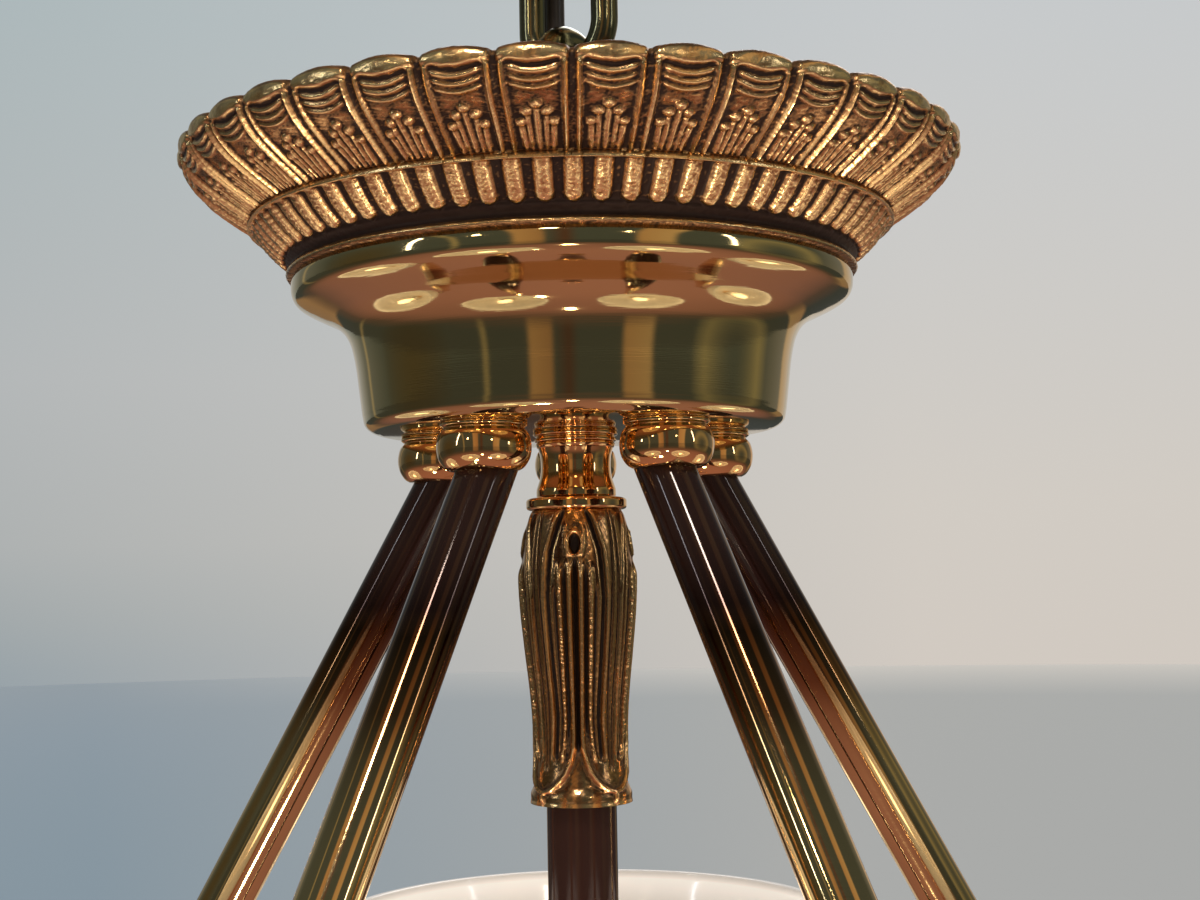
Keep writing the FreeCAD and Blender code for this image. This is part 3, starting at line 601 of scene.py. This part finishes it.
# The border of each petal as (share of the way down, degrees from the petals' parting)
BORDER = [(0.0, 9), (0.06, 8.5), (0.12, 8.0), (0.2, 6.0), (0.54, 5.8), (0.70, 4.9), (0.76, 4.9),
          (0.80, 5.9), (0.83, 7.8), (0.86, 10.8), (0.89, 15.5), (0.91, 20), (0.93, 26.5), (0.944, 33),
          (0.952, 39), (0.956, 45)]


def route(table, down):
    """A value at each height from a table of (share of the way down, value)."""
    places, values = zip(*table)
    return np.interp(down, places, values)


def sleeve_mesh():
    """The sleeve's vertices and quads, and how much wear each vertex shows."""
    columns, rows, spread = 336, 280, 60
    down = np.linspace(0, 1, rows)
    places, radii = zip(*SLEEVE_LINE)
    curve = np.array(spline(list(zip([p * spread for p in places], radii)), 0.4))
    radius = np.interp(down, curve[:, 0] / spread, curve[:, 1])
    azimuth = np.linspace(0, 360, columns, endpoint=False)
    unit = (azimuth + SLEEVE_TURN + PETAL / 2) % PETAL - PETAL / 2
    side, t = np.broadcast_arrays(np.abs(unit)[None, :], down[:, None])
    mm = radius[:, None] * math.pi / 180
    height = np.full(side.shape, -SUNK)

    def line(table, width, size, low, high):
        """A ridge or a groove of a width and a size along a table's run, between two shares down."""
        nonlocal height
        distance = (side - route(table, t)) * mm
        slope = np.gradient(route(table, down), down * SLEEVE_LENGTH)[:, None] * mm
        shape = ridge(distance / np.sqrt(1 + slope ** 2), width) * smooth_step(t, low - 0.02, low + 0.05)
        shape = shape * (1 - smooth_step(t, high - 0.02, high + 0.02))
        height = height + size * shape
        return shape

    # The dark parting under the eye, the border of each petal, its vein, and the lines beside them
    line([(0, 0), (1, 0)], 0.55, -1.3, 0.16, 0.80)
    outer = [(0.0, 13), (0.05, 19), (0.14, 27), (0.3, 31), (0.5, 30), (0.7, 28), (0.82, 31)]
    line(outer, 0.62, -1.25, 0.0, 0.84)
    line([(p, v + 5.5) for p, v in outer], 0.42, 0.55, 0.0, 0.84)
    line([(0.18, 11.2), (0.5, 11.4), (0.72, 12.0), (0.82, 17)], 0.45, -0.8, 0.2, 0.83)
    vein = [(0.2, 16), (0.5, 15.5), (0.72, 15), (0.80, 17), (0.88, 25)]
    veins = line(vein, 0.78, 0.90, 0.19, 0.84)
    line([(p, v + 6) for p, v in vein], 0.5, -0.6, 0.26, 0.84)
    line(BORDER, 0.72, 1.15, 0.18, 0.99)
    # The rim of the eye's leaf, and a fine line down the middle between two partings
    line([(0.0, 6.6), (0.07, 9.6), (0.12, 9.8), (0.17, 6.8), (0.2, 5.6)], 0.42, 0.8, 0.055, 0.16)
    line([(0.0, 42), (0.5, 40), (0.86, 43)], 0.36, -0.5, 0.0, 0.88)
    # The eye
    eye_reach = np.where(t < EYE_DOWN, EYE_UP, EYE_LOW)
    eye = np.hypot(side * mm / EYE_HALF, (t - EYE_DOWN) * SLEEVE_LENGTH / eye_reach)
    hole = 1 - smooth_step(eye, 0.70, 1.0)
    height = height - 1.4 * hole
    height = height + 0.6 * ridge(eye - 1.24, 0.17) * (t < 0.16)
    # The plain skirt stands in below the petals' borders
    inside_petal = side - route(BORDER, t)
    skirt = smooth_step(t, 0.80, 0.84) * (1 - smooth_step(inside_petal, -2, 1.5))
    skirt = np.maximum(skirt, smooth_step(t, 0.955, 0.965))
    height = height - 0.6 * skirt * (1 - smooth_step(t, 0.93, 0.97))
    rough = mottle(np.radians(azimuth)[None, :] * radius[:, None], down[:, None] * SLEEVE_LENGTH, 11)
    height = height + rough * (0.02 + 0.13 * veins)
    # What stands over its surroundings is rubbed bright, and what lies under them stays dark
    wear_and_painted_light = 0.36 + 0.90 * (height - smoothed(height, 4, 4)) + 0.03 * rough
    wear_and_painted_light = np.clip(wear_and_painted_light + 0.10 * skirt, 0, 1)
    wear_and_painted_light = np.maximum(wear_and_painted_light, smooth_step(t, 0.982, 0.99))
    top_fade = smooth_step(t, 0.0, 0.012)
    foot_fade = 1 - smooth_step(t, 0.985, 1.0)
    radius_all = radius[:, None] + height * top_fade * foot_fade - SUNK * (1 - top_fade)
    z = SLEEVE - t * SLEEVE_LENGTH
    turn = np.radians(azimuth)
    end = SLEEVE - SLEEVE_LENGTH
    socket = ROD_RADIUS + 0.1
    closing = [(13.9, end), (socket, end), (socket, ROD), (STEM_BORE, ROD), (STEM_BORE, SLEEVE)]
    radius_all = np.concatenate([radius_all] + [np.full((1, columns), r) for r, _ in closing])
    z = np.concatenate([z] + [np.full((1, columns), h) for _, h in closing])
    wear_and_painted_light = np.concatenate([wear_and_painted_light, np.full((len(closing), columns), 0.3)])
    points = np.stack([radius_all * np.sin(turn), -radius_all * np.cos(turn), z], -1)
    return grid(points), wear_and_painted_light


crown, crown_wear_and_painted_light = crown_mesh()
build("crown_lobes", crown, "fixture", crown_bronze, ["crown_ring"],
      {"wear_and_painted_light": crown_wear_and_painted_light}, sharp_deg=80)
sleeve, sleeve_worn = sleeve_mesh()
build("leaf_cover", sleeve, "fixture", sleeve_bronze, ["leaf_sleeve"],
      {"wear_and_painted_light": sleeve_worn}, sharp_deg=80)


# The cup and the turned pieces of the middle

# How far out the balls stand
BALLS = 42.0
# Outlines are lists of (radius, height) and, where a corner is rounded, its rounding
cup_side = spline([(61.2, 4.8), (61.6, 8.0), (62.2, 13.0), (62.8, 18.0), (63.6, 22.5), (64.6, 26.0),
                   (66.4, 29.2), (69.4, 31.9), (73.6, 34.0), (77.6, 35.9), (79.8, 37.3), (80.8, 38.9),
                   (81.1, 40.6), (81.1, 42.2), (80.9, 43.2)], 0.5)
cup_corner = spline([(56.0, 0.0), (58.6, 0.55), (60.5, 2.1), (61.2, 4.8)], 0.5)[:-1]
cup_outer = [(NIPPLE_BORE, 0.0), (30.0, 0.0)] + cup_corner + cup_side + [(80.5, 43.9), (79.8, 44.0)]
cup_inner = [(79.6, 43.0), (78.8, 39.6), (75.6, 36.8), (68.0, 32.4), (64.6, 28.4), (62.6, 22.0),
             (60.0, 6.0), (56.0, 1.2), (NIPPLE_BORE, 1.2)]
cup = lathe([(r, z + UNDER) for r, z in cup_outer + cup_inner], 180)
build("cup_shell", cup, "fixture", spun_brass, ["hub_cup"])


def stood(corners, foot):
    """An outline at a height."""
    return rounded([(c[0], c[1] + foot) + tuple(c[2:]) for c in corners])


def brass_piece(name, part, node, body="fixture"):
    """A piece of turned brass in place of a node."""
    build(name, part, body, turned_brass, [node])


def turned_piece(name, corners, foot, node, columns=96, body="fixture"):
    """A piece of turned brass from its outline, which stands at a height."""
    brass_piece(name, lathe(stood(corners, foot), columns), node, body)


neck_collar = [(STEM_BORE, 0), (12.3, 0, 0.3), (12.3, -1.0, 0.5), (11.2, -1.5, 0.3), (11.9, -2.1, 0.4),
               (11.9, -2.9, 0.4), (11.0, -3.1), (STEM_BORE, -3.1)]
turned_piece("neck_collar", neck_collar, UNDER, "neck_ring")
spool_run = spline([(10.9, -1.7), (10.3, -4.0), (10.1, -7.0), (10.4, -10.0), (11.2, -12.6),
                    (11.5, -13.6)], 0.6)
spool = [(STEM_BORE, 0), (11.2, 0, 0.3), (11.55, -0.7, 0.4), (11.2, -1.5, 0.3)] + spool_run
spool += [(11.55, -14.3, 0.4), (11.55, -15.7, 0.3), (STEM_BORE, -16.0)]
turned_piece("neck_turning", spool, SPOOL, "neck_spool")
neck_bead = [(STEM_BORE, 0), (13.0, 0, 1.0), (14.6, -0.4, 1.3), (14.6, -3.3, 1.3), (13.0, -3.7, 1.0),
             (STEM_BORE, -3.7)]
turned_piece("neck_bead", neck_bead, BEAD, "bead_ring")
lower_bead = [(STEM_BORE, 0), (13.2, 0, 1.0), (14.6, -0.6, 1.3), (14.6, -3.4, 1.3), (13.2, -4.0, 1.0),
              (STEM_BORE, -4.0)]
turned_piece("lower_bead", lower_bead, ROD_FOOT, "lower_collar")
vase_run = spline([(9.6, -5.4), (11.8, -9.0), (16.4, -15.0), (18.9, -22.0), (18.2, -28.0),
                   (14.4, -34.4), (10.6, -39.4), (9.2, -42.0)], 0.8)
vase = [(STEM_BORE, 0), (12.0, 0, 0.5), (12.0, -2.4, 0.6), (9.8, -4.0, 0.8)] + vase_run
vase += [(9.9, -44.2, 0.5), (9.9, -46.0, 0.3), (STEM_BORE, -46.0)]
turned_piece("vase_turning", vase, VASE, "lower_vase")
finial_run = spline([(10.0, -3.8), (12.4, -7.6), (13.0, -12.0), (11.2, -18.6), (7.4, -24.0),
                     (4.0, -27.6), (1.8, -29.6)], 0.7)
finial = [(AXIS, 0), (10.0, 0, 0.4), (10.0, -2.4, 0.4)] + finial_run + [(AXIS, -30.0)]
turned_piece("finial_turning", finial, FINIAL, "finial")
rod_tube = lathe([(ROD_RADIUS, ROD_FOOT), (ROD_RADIUS, ROD), (ROD_BORE, ROD), (ROD_BORE, ROD_FOOT)], 64)
build("rod_tube", rod_tube, "fixture", rod_lacquer, ["centre_rod"])

ball_run = spline([(11.1, -1.9), (12.3, -3.4), (12.9, -6.6), (12.4, -9.8), (10.9, -12.2),
                   (9.5, -13.1)], 0.5)
ball = [(NIPPLE_BORE, 0), (11.9, 0, 0.4), (11.9, -0.9, 0.4), (11.0, -1.6, 0.2)] + ball_run
ball = lathe(stood(ball + [(NIPPLE_BORE, -13.1)], UNDER), 56)
brass_piece("ball_turnings", at_each_arm(ball, BALLS), "ball_collars")


# Arms and lamps

# The arms' lean from upright, the radius of their bends, and how far out they end and start
LEAN = math.radians(30.4)
BEND = 35.002
REACH = 300.0
START = 41.0
BEND_RADIUS = REACH - BEND * (1 + math.cos(LEAN))
RUN = (BEND_RADIUS - START) / math.sin(LEAN)
BEND_START = BALL_FOOT - RUN * math.cos(LEAN)
BEND_END = BEND_START + BEND * math.sin(LEAN)
TUBE_END = BEND_END + 10.0
LAMP_FLOOR = TUBE_END + 3.0
SHADE = LAMP_FLOOR + 15.0


def arm_mesh():
    """One bent arm in the plane of azimuth 0, with its top cut level under its ball."""
    columns, bend_steps = 40, 28
    turn = full_turn(columns)
    out = np.array([0, math.cos(LEAN), -math.sin(LEAN)])
    side = np.array([1.0, 0, 0])
    down = np.array([0, -math.sin(LEAN), -math.cos(LEAN)])
    first = np.array([0, -BEND_RADIUS, BEND_START])
    stations = []
    middle = np.array([0, -REACH + BEND, BEND_END])
    for i in range(bend_steps + 1):
        angle = LEAN + (math.pi - LEAN) * i / bend_steps
        across = np.array([0, math.cos(angle), -math.sin(angle)])
        stations.append((middle + across * BEND, across, side))
    stations.append((np.array([0, -REACH, TUBE_END]), np.array([0, -1.0, 0]), side))
    layers = []
    for size in (ARM_RADIUS, ARM_BORE):
        ring = circle(first, out, side, size, turn)
        top = ring - down * ((BALL_FOOT - ring[:, 2]) / math.cos(LEAN))[:, None]
        layers.append([top] + [circle(*station, size, turn) for station in stations])
    return grid(np.array(layers[0] + layers[1][::-1]))


arm = arm_mesh()
# Bore of the lamp cup and the shade ring, round the lampholder
HOLDER_BORE = 14.05
lamp_cup = lathe(rounded([
    (8.05, TUBE_END), (8.05, TUBE_END - 9.0), (10.6, TUBE_END - 9.0, 0.5), (11.0, TUBE_END - 5.6, 0.5),
    (10.2, TUBE_END - 4.4, 0.4), (11.0, TUBE_END - 3.2, 0.5), (12.6, TUBE_END - 1.0, 1.0),
    (16.2, LAMP_FLOOR, 3.0), (19.5, LAMP_FLOOR + 5.0, 6.0), (23.4, SHADE - 3.4, 3.0),
    (26.0, SHADE - 1.6, 0.6), (26.0, SHADE, 0.5), (HOLDER_BORE, SHADE), (HOLDER_BORE, LAMP_FLOOR),
    (NIPPLE_BORE, LAMP_FLOOR), (NIPPLE_BORE, TUBE_END)]), 72)
# The bowl's rim, its bore and the thickness of its floor
RIM = SHADE + 100.4
BOWL_BORE = 14.3
GLASS = 4.0
BOWL_COLUMNS = 128
bowl_out = spline([(24.0, SHADE), (38.0, SHADE + 3.2), (62.0, SHADE + 12.5), (86.0, SHADE + 29.5),
                   (103.0, SHADE + 51.0), (113.5, SHADE + 74.0), (118.1, SHADE + 91.0),
                   (119.6, RIM - 4.0)], 2.5)
bowl_rim = rounded([(119.8, RIM - 3.4), (120.2, RIM - 2.0, 1.4), (119.9, RIM, 1.4), (116.4, RIM, 1.4),
                    (116.0, RIM - 3.0)])[1:-1]
bowl_in = spline([(116.0, RIM - 4.0), (114.6, SHADE + 91.0), (109.5, SHADE + 75.0),
                  (99.2, SHADE + 53.5), (82.8, SHADE + 32.8), (60.0, SHADE + 16.6),
                  (37.0, SHADE + 7.4), (25.0, SHADE + GLASS)], 2.5)
bowl = [(BOWL_BORE, SHADE)] + bowl_out + bowl_rim + bowl_in + [(BOWL_BORE, SHADE + GLASS)]
bowl_inside = np.array([i >= len(bowl) - len(bowl_in) - 1 for i in range(len(bowl))])
bowl = lathe(bowl, BOWL_COLUMNS)
# The glass glows where the bulb is near, and inside it under the rim
bulb_way = np.linalg.norm(bowl[0] - np.array([0, 0, SHADE + 40.0]), axis=1)
bowl_glow = 0.10 + 0.7 * np.exp(-((bulb_way - 38.0) / 10.0) ** 2)
rim_glow = 0.42 * np.exp(-((RIM - bowl[0][:, 2]) / 16.0) ** 2)
bowl_glow = np.where(np.repeat(bowl_inside, BOWL_COLUMNS), rim_glow, bowl_glow)
for number, azimuth in enumerate(ARM_AZIMUTHS, 1):
    build(f"arm_{number}", moved(arm, 0, azimuth), "fixture", tube_brass,
          [f"arm_tube_{number}"])
    brass_piece(f"gallery_{number}", moved(lamp_cup, REACH, azimuth), f"lamp_cup_{number}")
    build(f"bowl_{number}", moved(bowl, REACH, azimuth), "fixture", opal,
          [f"glass_shade_{number}"], {"glow": bowl_glow})

HOLDER_FLOOR = LAMP_FLOOR + 15.0
HOLDER_TOP = LAMP_FLOOR + 43.0
holder = lathe(rounded([(NIPPLE_BORE, LAMP_FLOOR), (14.0, LAMP_FLOOR, 0.5), (14.0, HOLDER_TOP, 1.0),
                        (7.3, HOLDER_TOP, 0.5), (7.3, HOLDER_FLOOR), (NIPPLE_BORE, HOLDER_FLOOR)]), 48)
build("lampholders", at_each_arm(holder, REACH), "fixture", ceramic, ["lamp_holders"])
ring_low = SHADE + GLASS
ring_high = ring_low + 5.0
shade_ring = lathe(rounded([(HOLDER_BORE, ring_low), (20.0, ring_low, 0.4), (20.0, ring_high, 0.8),
                            (HOLDER_BORE, ring_high)]), 48)
brass_piece("gallery_rings", at_each_arm(shade_ring, REACH), "shade_rings")
BULB_LOW = HOLDER_FLOOR + 0.3
neck = HOLDER_TOP + 0.3
bulb_top = neck + 54.0
globe = [(AXIS, BULB_LOW), (7.0, BULB_LOW), (7.0, neck - 0.6), (7.6, neck)]
globe += spline([(9.0, neck + 1.0), (11.6, neck + 8.0), (17.4, neck + 17.0), (21.6, neck + 25.0),
                 (22.5, bulb_top - 22.5), (20.8, bulb_top - 14.0), (16.0, bulb_top - 6.6),
                 (9.0, bulb_top - 1.9), (AXIS, bulb_top)], 1.5)
bulb = lathe(globe, 48)
bulbs = at_each_arm(bulb, REACH)
build("bulbs", bulbs, "fixture", bulb_lit, ["lamp_bulbs"], {"glow": np.ones(len(bulbs[0]))})


# Ceiling fitting and chain

LINK_TURN = math.radians(35.0)
LINK_ACROSS = np.array([math.cos(LINK_TURN), -math.sin(LINK_TURN), 0])
LINK_NORMAL = np.array([math.sin(LINK_TURN), math.cos(LINK_TURN), 0])
UP = np.array([0, 0, 1.0])
# Heights of the hook's middle, the link's two ends and the eye's middle, and the rings' radii
HOOK, LINK_TOP, LINK_BOTTOM, EYE = -75.0, -81.7, -123.7, -127.4
HOOK_RING, LINK_BOW, EYE_RING = 15.0, 13.0, 12.0
# The rose's lowest face and wall, and the eye boss's lowest face
ROSE_FOOT, ROSE_WALL = -44.0, 1.2
EYE_FOOT = -155.0


def bow(middle, radius, first_deg, last_deg, count, across):
    """Stations round a bow in the upright plane that holds a level direction."""
    stations = []
    other = np.cross(UP, across)
    for i in range(count + 1):
        turn = math.radians(first_deg + (last_deg - first_deg) * i / count)
        out = across * math.cos(turn) + UP * math.sin(turn)
        stations.append((middle + out * radius, out, other))
    return stations


rose_run = spline([(24.0, ROSE_FOOT), (35.0, -41.0), (47.0, -34.4), (55.6, -25.0), (60.4, -14.0),
                   (62.0, -6.0)], 1.5)
rose_in = [(r - ROSE_WALL if z > -40 else r - 0.6, z + (ROSE_WALL if z < -40 else 0.6))
           for r, z in rose_run[::-1]]
rose = [(4.3, ROSE_FOOT), (21.0, ROSE_FOOT)] + rose_run + [(62.0, -0.6), (61.6, 0.0), (60.8, 0.0)]
rose += rose_in + [(21.0, ROSE_FOOT + ROSE_WALL), (4.3, ROSE_FOOT + ROSE_WALL)]
brass_piece("rose_cover", lathe(rose, 128), "ceiling_rose", "ceiling")
rose_nut = [(4.05, 0), (7.4, 0, 0.5), (7.4, -8.0, 1.0), (5.4, -10.0, 0.5), (4.05, -10.0)]
turned_piece("rose_nut", rose_nut, ROSE_FOOT, "rose_collar", 48, "ceiling")
hook_ring = swept(bow(UP * HOOK, HOOK_RING, 0, 360, 72, LINK_NORMAL)[:-1], WIRE, WIRE_COLUMNS)
hook_shank = lathe([(AXIS, HOOK + 14.0), (WIRE, HOOK + 14.0), (WIRE, -6.4), (3.6, -6.0),
                    (AXIS, -6.0)], WIRE_COLUMNS)
build("hook_ring", joined([hook_ring, hook_shank]), "ceiling", chain_bronze,
      ["ceiling_hook"])
link_middle = (LINK_TOP + LINK_BOTTOM) / 2
link_half = (LINK_TOP - LINK_BOTTOM) / 2 - LINK_BOW
link = bow(UP * (link_middle + link_half), LINK_BOW, 0, 180, 36, LINK_ACROSS)
link += bow(UP * (link_middle - link_half), LINK_BOW, 180, 360, 36, LINK_ACROSS)
build("chain_oval", swept(link, WIRE, WIRE_COLUMNS), "link", chain_bronze,
      ["chain_link"])
eye_ring = swept(bow(UP * EYE, EYE_RING, 0, 360, 72, LINK_NORMAL)[:-1], WIRE, WIRE_COLUMNS)
eye_boss = lathe(rounded([(AXIS, -140.6), (WIRE, -140.6, 1.5), (6.0, -143.0, 2.0), (8.0, -145.4, 1.5),
                          (8.0, EYE_FOOT, 0.6), (NIPPLE_BORE, EYE_FOOT), (NIPPLE_BORE, -145.0),
                          (AXIS, -145.0)]), 48)
build("eye_loop", joined([eye_ring, eye_boss]), "fixture", chain_bronze, ["hanging_eye"])


# The supply cable, whose two lengths meet halfway down the link

CABLE_X, CABLE_Y = -4.0, 12.5
CABLE_TOP = -28.5
CABLE_FOOT = -191.0


def cable(name, low, high, node):
    """One length of the cable, run straight between two bodies, and its path in metres."""
    rows = 24
    stations = [(np.array([CABLE_X, CABLE_Y, z]), np.array([1.0, 0, 0]), np.array([0, 1.0, 0]))
                for z in np.linspace(high, low, rows)]
    piece = shaped(name, swept(stations, CABLE_RADIUS, 20, AXIS), sheath, sharp_deg=40)
    x, y = CABLE_X * MM, CABLE_Y * MM
    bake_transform(piece)
    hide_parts(node)
    path = [(x, y, z * MM) for z in np.linspace(high, low, 6)]
    return piece, path


upper, upper_path = cable("cable_upper", link_middle, CABLE_TOP,
                          "supply_cable_upper")
lower, lower_path = cable("cable_lower", CABLE_FOOT, link_middle,
                          "supply_cable_lower")

# Looks of the solids that stay
SOLID_LOOKS = {
    "ceiling_bracket": steel, "hook_nuts": steel, "rose_grommet": rubber, "hub_grommet": rubber,
    "ceiling_terminal": terminal, "hub_terminal": terminal, "centre_stem": steel, "stem_nuts": steel,
    "top_plate": steel, "rod_bushes": steel, "lower_stud": steel, "arm_nipples": steel, "arm_nuts": steel,
    "lamp_nipples": steel,
}
for node, material in SOLID_LOOKS.items():
    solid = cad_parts[node]
    solid.data.materials.clear()
    solid.data.materials.append(material)


# Camera, light and stage

# The camera's place in metres, pitch, yaw and roll in radians, and focal length in millimetres
CAMERA_PLACE = (0, -0.47982, -0.27364)
CAMERA_TURNS = (0.0767, 0.0148, -0.0188)
CAMERA_LENS = 49.72


def add_camera():
    """The camera of the photograph, as fitted to the crown, the cup, the arms and the rear bowl."""
    pitch, yaw, roll = CAMERA_TURNS
    forward = Vector((math.sin(yaw) * math.cos(pitch), math.cos(yaw) * math.cos(pitch), math.sin(pitch)))
    right = Vector((math.cos(yaw), -math.sin(yaw), 0))
    up = right.cross(forward)
    across = right * math.cos(roll) + up * math.sin(roll)
    above = up * math.cos(roll) - right * math.sin(roll)
    data = bpy.data.cameras.new("camera")
    data.sensor_width = 36.0
    data.lens = CAMERA_LENS
    data.clip_start = 0.01
    data.clip_end = 200.0
    camera = linked("camera", data)
    turn = Matrix((across, above, -forward)).transposed().to_4x4()
    camera.matrix_world = Matrix.Translation(CAMERA_PLACE) @ turn
    bpy.context.scene.camera = camera


def add_area(name, place, target, size, power, colour=(1, 1, 1)):
    data = bpy.data.lights.new(name, "AREA")
    data.shape = "RECTANGLE"
    data.size, data.size_y = size
    data.energy = power
    data.color = colour
    lamp = linked(name, data)
    lamp.location = place
    lamp.rotation_euler = (Vector(target) - Vector(place)).to_track_quat("-Z", "Y").to_euler()
    return lamp


# What the metal sees of the dim room from left to right: its dark parts, and those that lamps light
DIM = (0.066, 0.080, 0.078)
LAMP_LIT = (0.42, 0.26, 0.13)
STREAK = (0.32, 0.27, 0.15)
ROOM = [(0.0, (0.07, 0.06, 0.035)), (0.05, DIM), (0.13, DIM), (0.145, STREAK), (0.16, DIM), (0.30, DIM),
        (0.32, LAMP_LIT), (0.40, (0.34, 0.20, 0.10)), (0.42, DIM), (0.48, (0.09, 0.045, 0.03)),
        (0.52, DIM), (0.70, DIM), (0.72, LAMP_LIT), (0.81, (0.46, 0.32, 0.17)), (0.83, DIM),
        (0.94, DIM), (0.97, (0.24, 0.22, 0.13)), (1.0, DIM)]


def add_world():
    """A pale wall behind the light and, for the metal to show, a dim room in front of it."""
    world = bpy.data.worlds.new("room")
    bpy.context.scene.world = world
    world.use_nodes = True
    tree = world.node_tree
    background = tree.nodes["Background"]
    path = tree.nodes.new("ShaderNodeLightPath")
    coordinates = tree.nodes.new("ShaderNodeTexCoord")
    parts = axis_parts(tree, coordinates.outputs["Generated"])
    height = shifted(tree, parts["Z"])
    wall_left = ramp_node(tree, height, [
        (0.474, (0.31, 0.36, 0.39)), (0.491, (0.36, 0.395, 0.405)), (0.512, (0.42, 0.44, 0.44)),
        (0.56, (0.455, 0.475, 0.48)), (0.66, (0.41, 0.475, 0.49))])
    wall_right = ramp_node(tree, height, [
        (0.46, (0.64, 0.585, 0.53)), (0.52, (0.64, 0.60, 0.55)), (0.66, (0.57, 0.59, 0.60))])
    across = ramp_node(tree, shifted(tree, parts["X"]), [(0.33, grey(0)), (0.60, grey(1))])
    wall = mixed(tree, across, wall_left, wall_right)
    room = ramp_node(tree, shifted(tree, parts["X"]), ROOM)
    behind = ramp_node(tree, shifted(tree, parts["Y"]), [
        (0.68, grey(0)), (0.88, grey(0.22)), (0.975, grey(0.9))])
    around = mixed(tree, behind, room, wall)
    light = mixed(tree, path.outputs["Is Glossy Ray"], (0.60, 0.60, 0.60, 1), around)
    seen = mixed(tree, path.outputs["Is Camera Ray"], light, wall)
    seen = mixed(tree, path.outputs["Is Transmission Ray"], seen, wall)
    tree.links.new(seen, background.inputs["Color"])
    background.inputs["Strength"].default_value = 1.0


# The floor's height and radius, and how much its far part's colours are lifted to match the room's
FLOOR, FLOOR_RADIUS = -3.0, 49.0
FLOOR_LIFT = 1.15


def add_floor():
    """A wide pale floor that the metal sees as the room's brown one."""
    mesh = bpy.data.meshes.new("floor")
    corners = 64
    ring = [(FLOOR_RADIUS * math.sin(a), FLOOR_RADIUS * math.cos(a), FLOOR)
            for a in full_turn(corners)]
    mesh.from_pydata(ring, [], [list(range(corners - 1, -1, -1))])
    floor = linked("floor", mesh)
    material, tree, shader = material_nodes("floor")
    shader.inputs["Roughness"].default_value = 0.9
    shader.inputs["Specular IOR Level"].default_value = 0.1
    path = tree.nodes.new("ShaderNodeLightPath")
    coordinates = tree.nodes.new("ShaderNodeTexCoord")
    length = tree.nodes.new("ShaderNodeVectorMath")
    length.operation = "LENGTH"
    tree.links.new(coordinates.outputs["Object"], length.inputs[0])
    far = tree.nodes.new("ShaderNodeMapRange")
    far.inputs["From Max"].default_value = FLOOR_RADIUS
    tree.links.new(length.outputs["Value"], far.inputs["Value"])
    pale_left = ramp_node(tree, far.outputs["Result"], [
        (0.0, (0.37, 0.47, 0.55)), (0.25, (0.39, 0.505, 0.59)), (0.62, (0.44, 0.54, 0.62)),
        (1.0, (0.49, 0.57, 0.63))])
    pale_right = ramp_node(tree, far.outputs["Result"], [
        (0.0, (0.60, 0.62, 0.61)), (0.25, (0.67, 0.68, 0.665)), (0.76, (0.69, 0.70, 0.68)),
        (1.0, (1.0, 0.955, 0.88))])
    brown = ramp_node(tree, far.outputs["Result"], [
        (0.0, (0.55, 0.27, 0.24)), (0.12, (0.42, 0.21, 0.18)), (0.18, (0.17, 0.11, 0.09))])
    # Far out it shows the metal the same dark and lamp-lit parts as the room
    outwards = tree.nodes.new("ShaderNodeVectorMath")
    outwards.operation = "NORMALIZE"
    tree.links.new(coordinates.outputs["Object"], outwards.inputs[0])
    parts = axis_parts(tree, outwards.outputs["Vector"])
    lifted = [(place, tuple(FLOOR_LIFT * c for c in colour)) for place, colour in ROOM]
    room = ramp_node(tree, shifted(tree, parts["X"]), lifted)
    beyond = ramp_node(tree, far.outputs["Result"], [(0.16, grey(0)), (0.26, grey(1))])
    dark = mixed(tree, beyond, brown, room)
    across = ramp_node(tree, shifted(tree, parts["X"]), [(0.36, grey(0)), (0.56, grey(1))])
    pale = mixed(tree, across, pale_left, pale_right)
    colour = mixed(tree, path.outputs["Is Glossy Ray"], pale, dark)
    tree.links.new(colour, shader.inputs["Base Color"])
    mesh.materials.append(material)


add_camera()
add_world()
add_floor()
add_area("key_left", (-2.1, -1.0, 0.5), (0, 0, -0.3), (0.07, 1.2), 3.2, (0.86, 0.93, 1.0))
add_area("key_right", (2.1, -1.0, 0.4), (0, 0, -0.3), (0.07, 1.1), 2.0)
add_area("front_top", (-0.3, -1.7, 1.5), (0, 0, -0.2), (0.2, 0.4), 13, (1.0, 0.90, 0.78))
add_area("back_top", (0.3, 1.5, 1.0), (0, 0, -0.3), (1.4, 0.8), 12)
# Small lamps as (place, target, width, power): two high in front, and three on the floor that shine
# straight up and give the metal its hot points
small_lamps = [
    ((-1.3, -1.7, 0.6), (0, 0, -0.2), 0.09, 1.1),
    ((0.8, -2.0, 0.5), (0, 0, -0.2), 0.09, 1.1),
    ((-0.77, -1.64, -2.98), (-0.77, -1.64, 0), 0.42, 28),
    ((0.96, -2.3, -2.98), (0.96, -2.3, 0), 0.42, 28),
    ((-0.1, -4.55, -2.98), (-0.1, -4.55, 0), 0.42, 24)]
for number, (place, target, size, power) in enumerate(small_lamps):
    small = add_area(f"small_{number}", place, target, (size, size), power, (1.0, 0.84, 0.62))
    small.data.shape = "DISK"
    small.visible_camera = False

scene = bpy.context.scene
scene.view_settings.view_transform = "Standard"
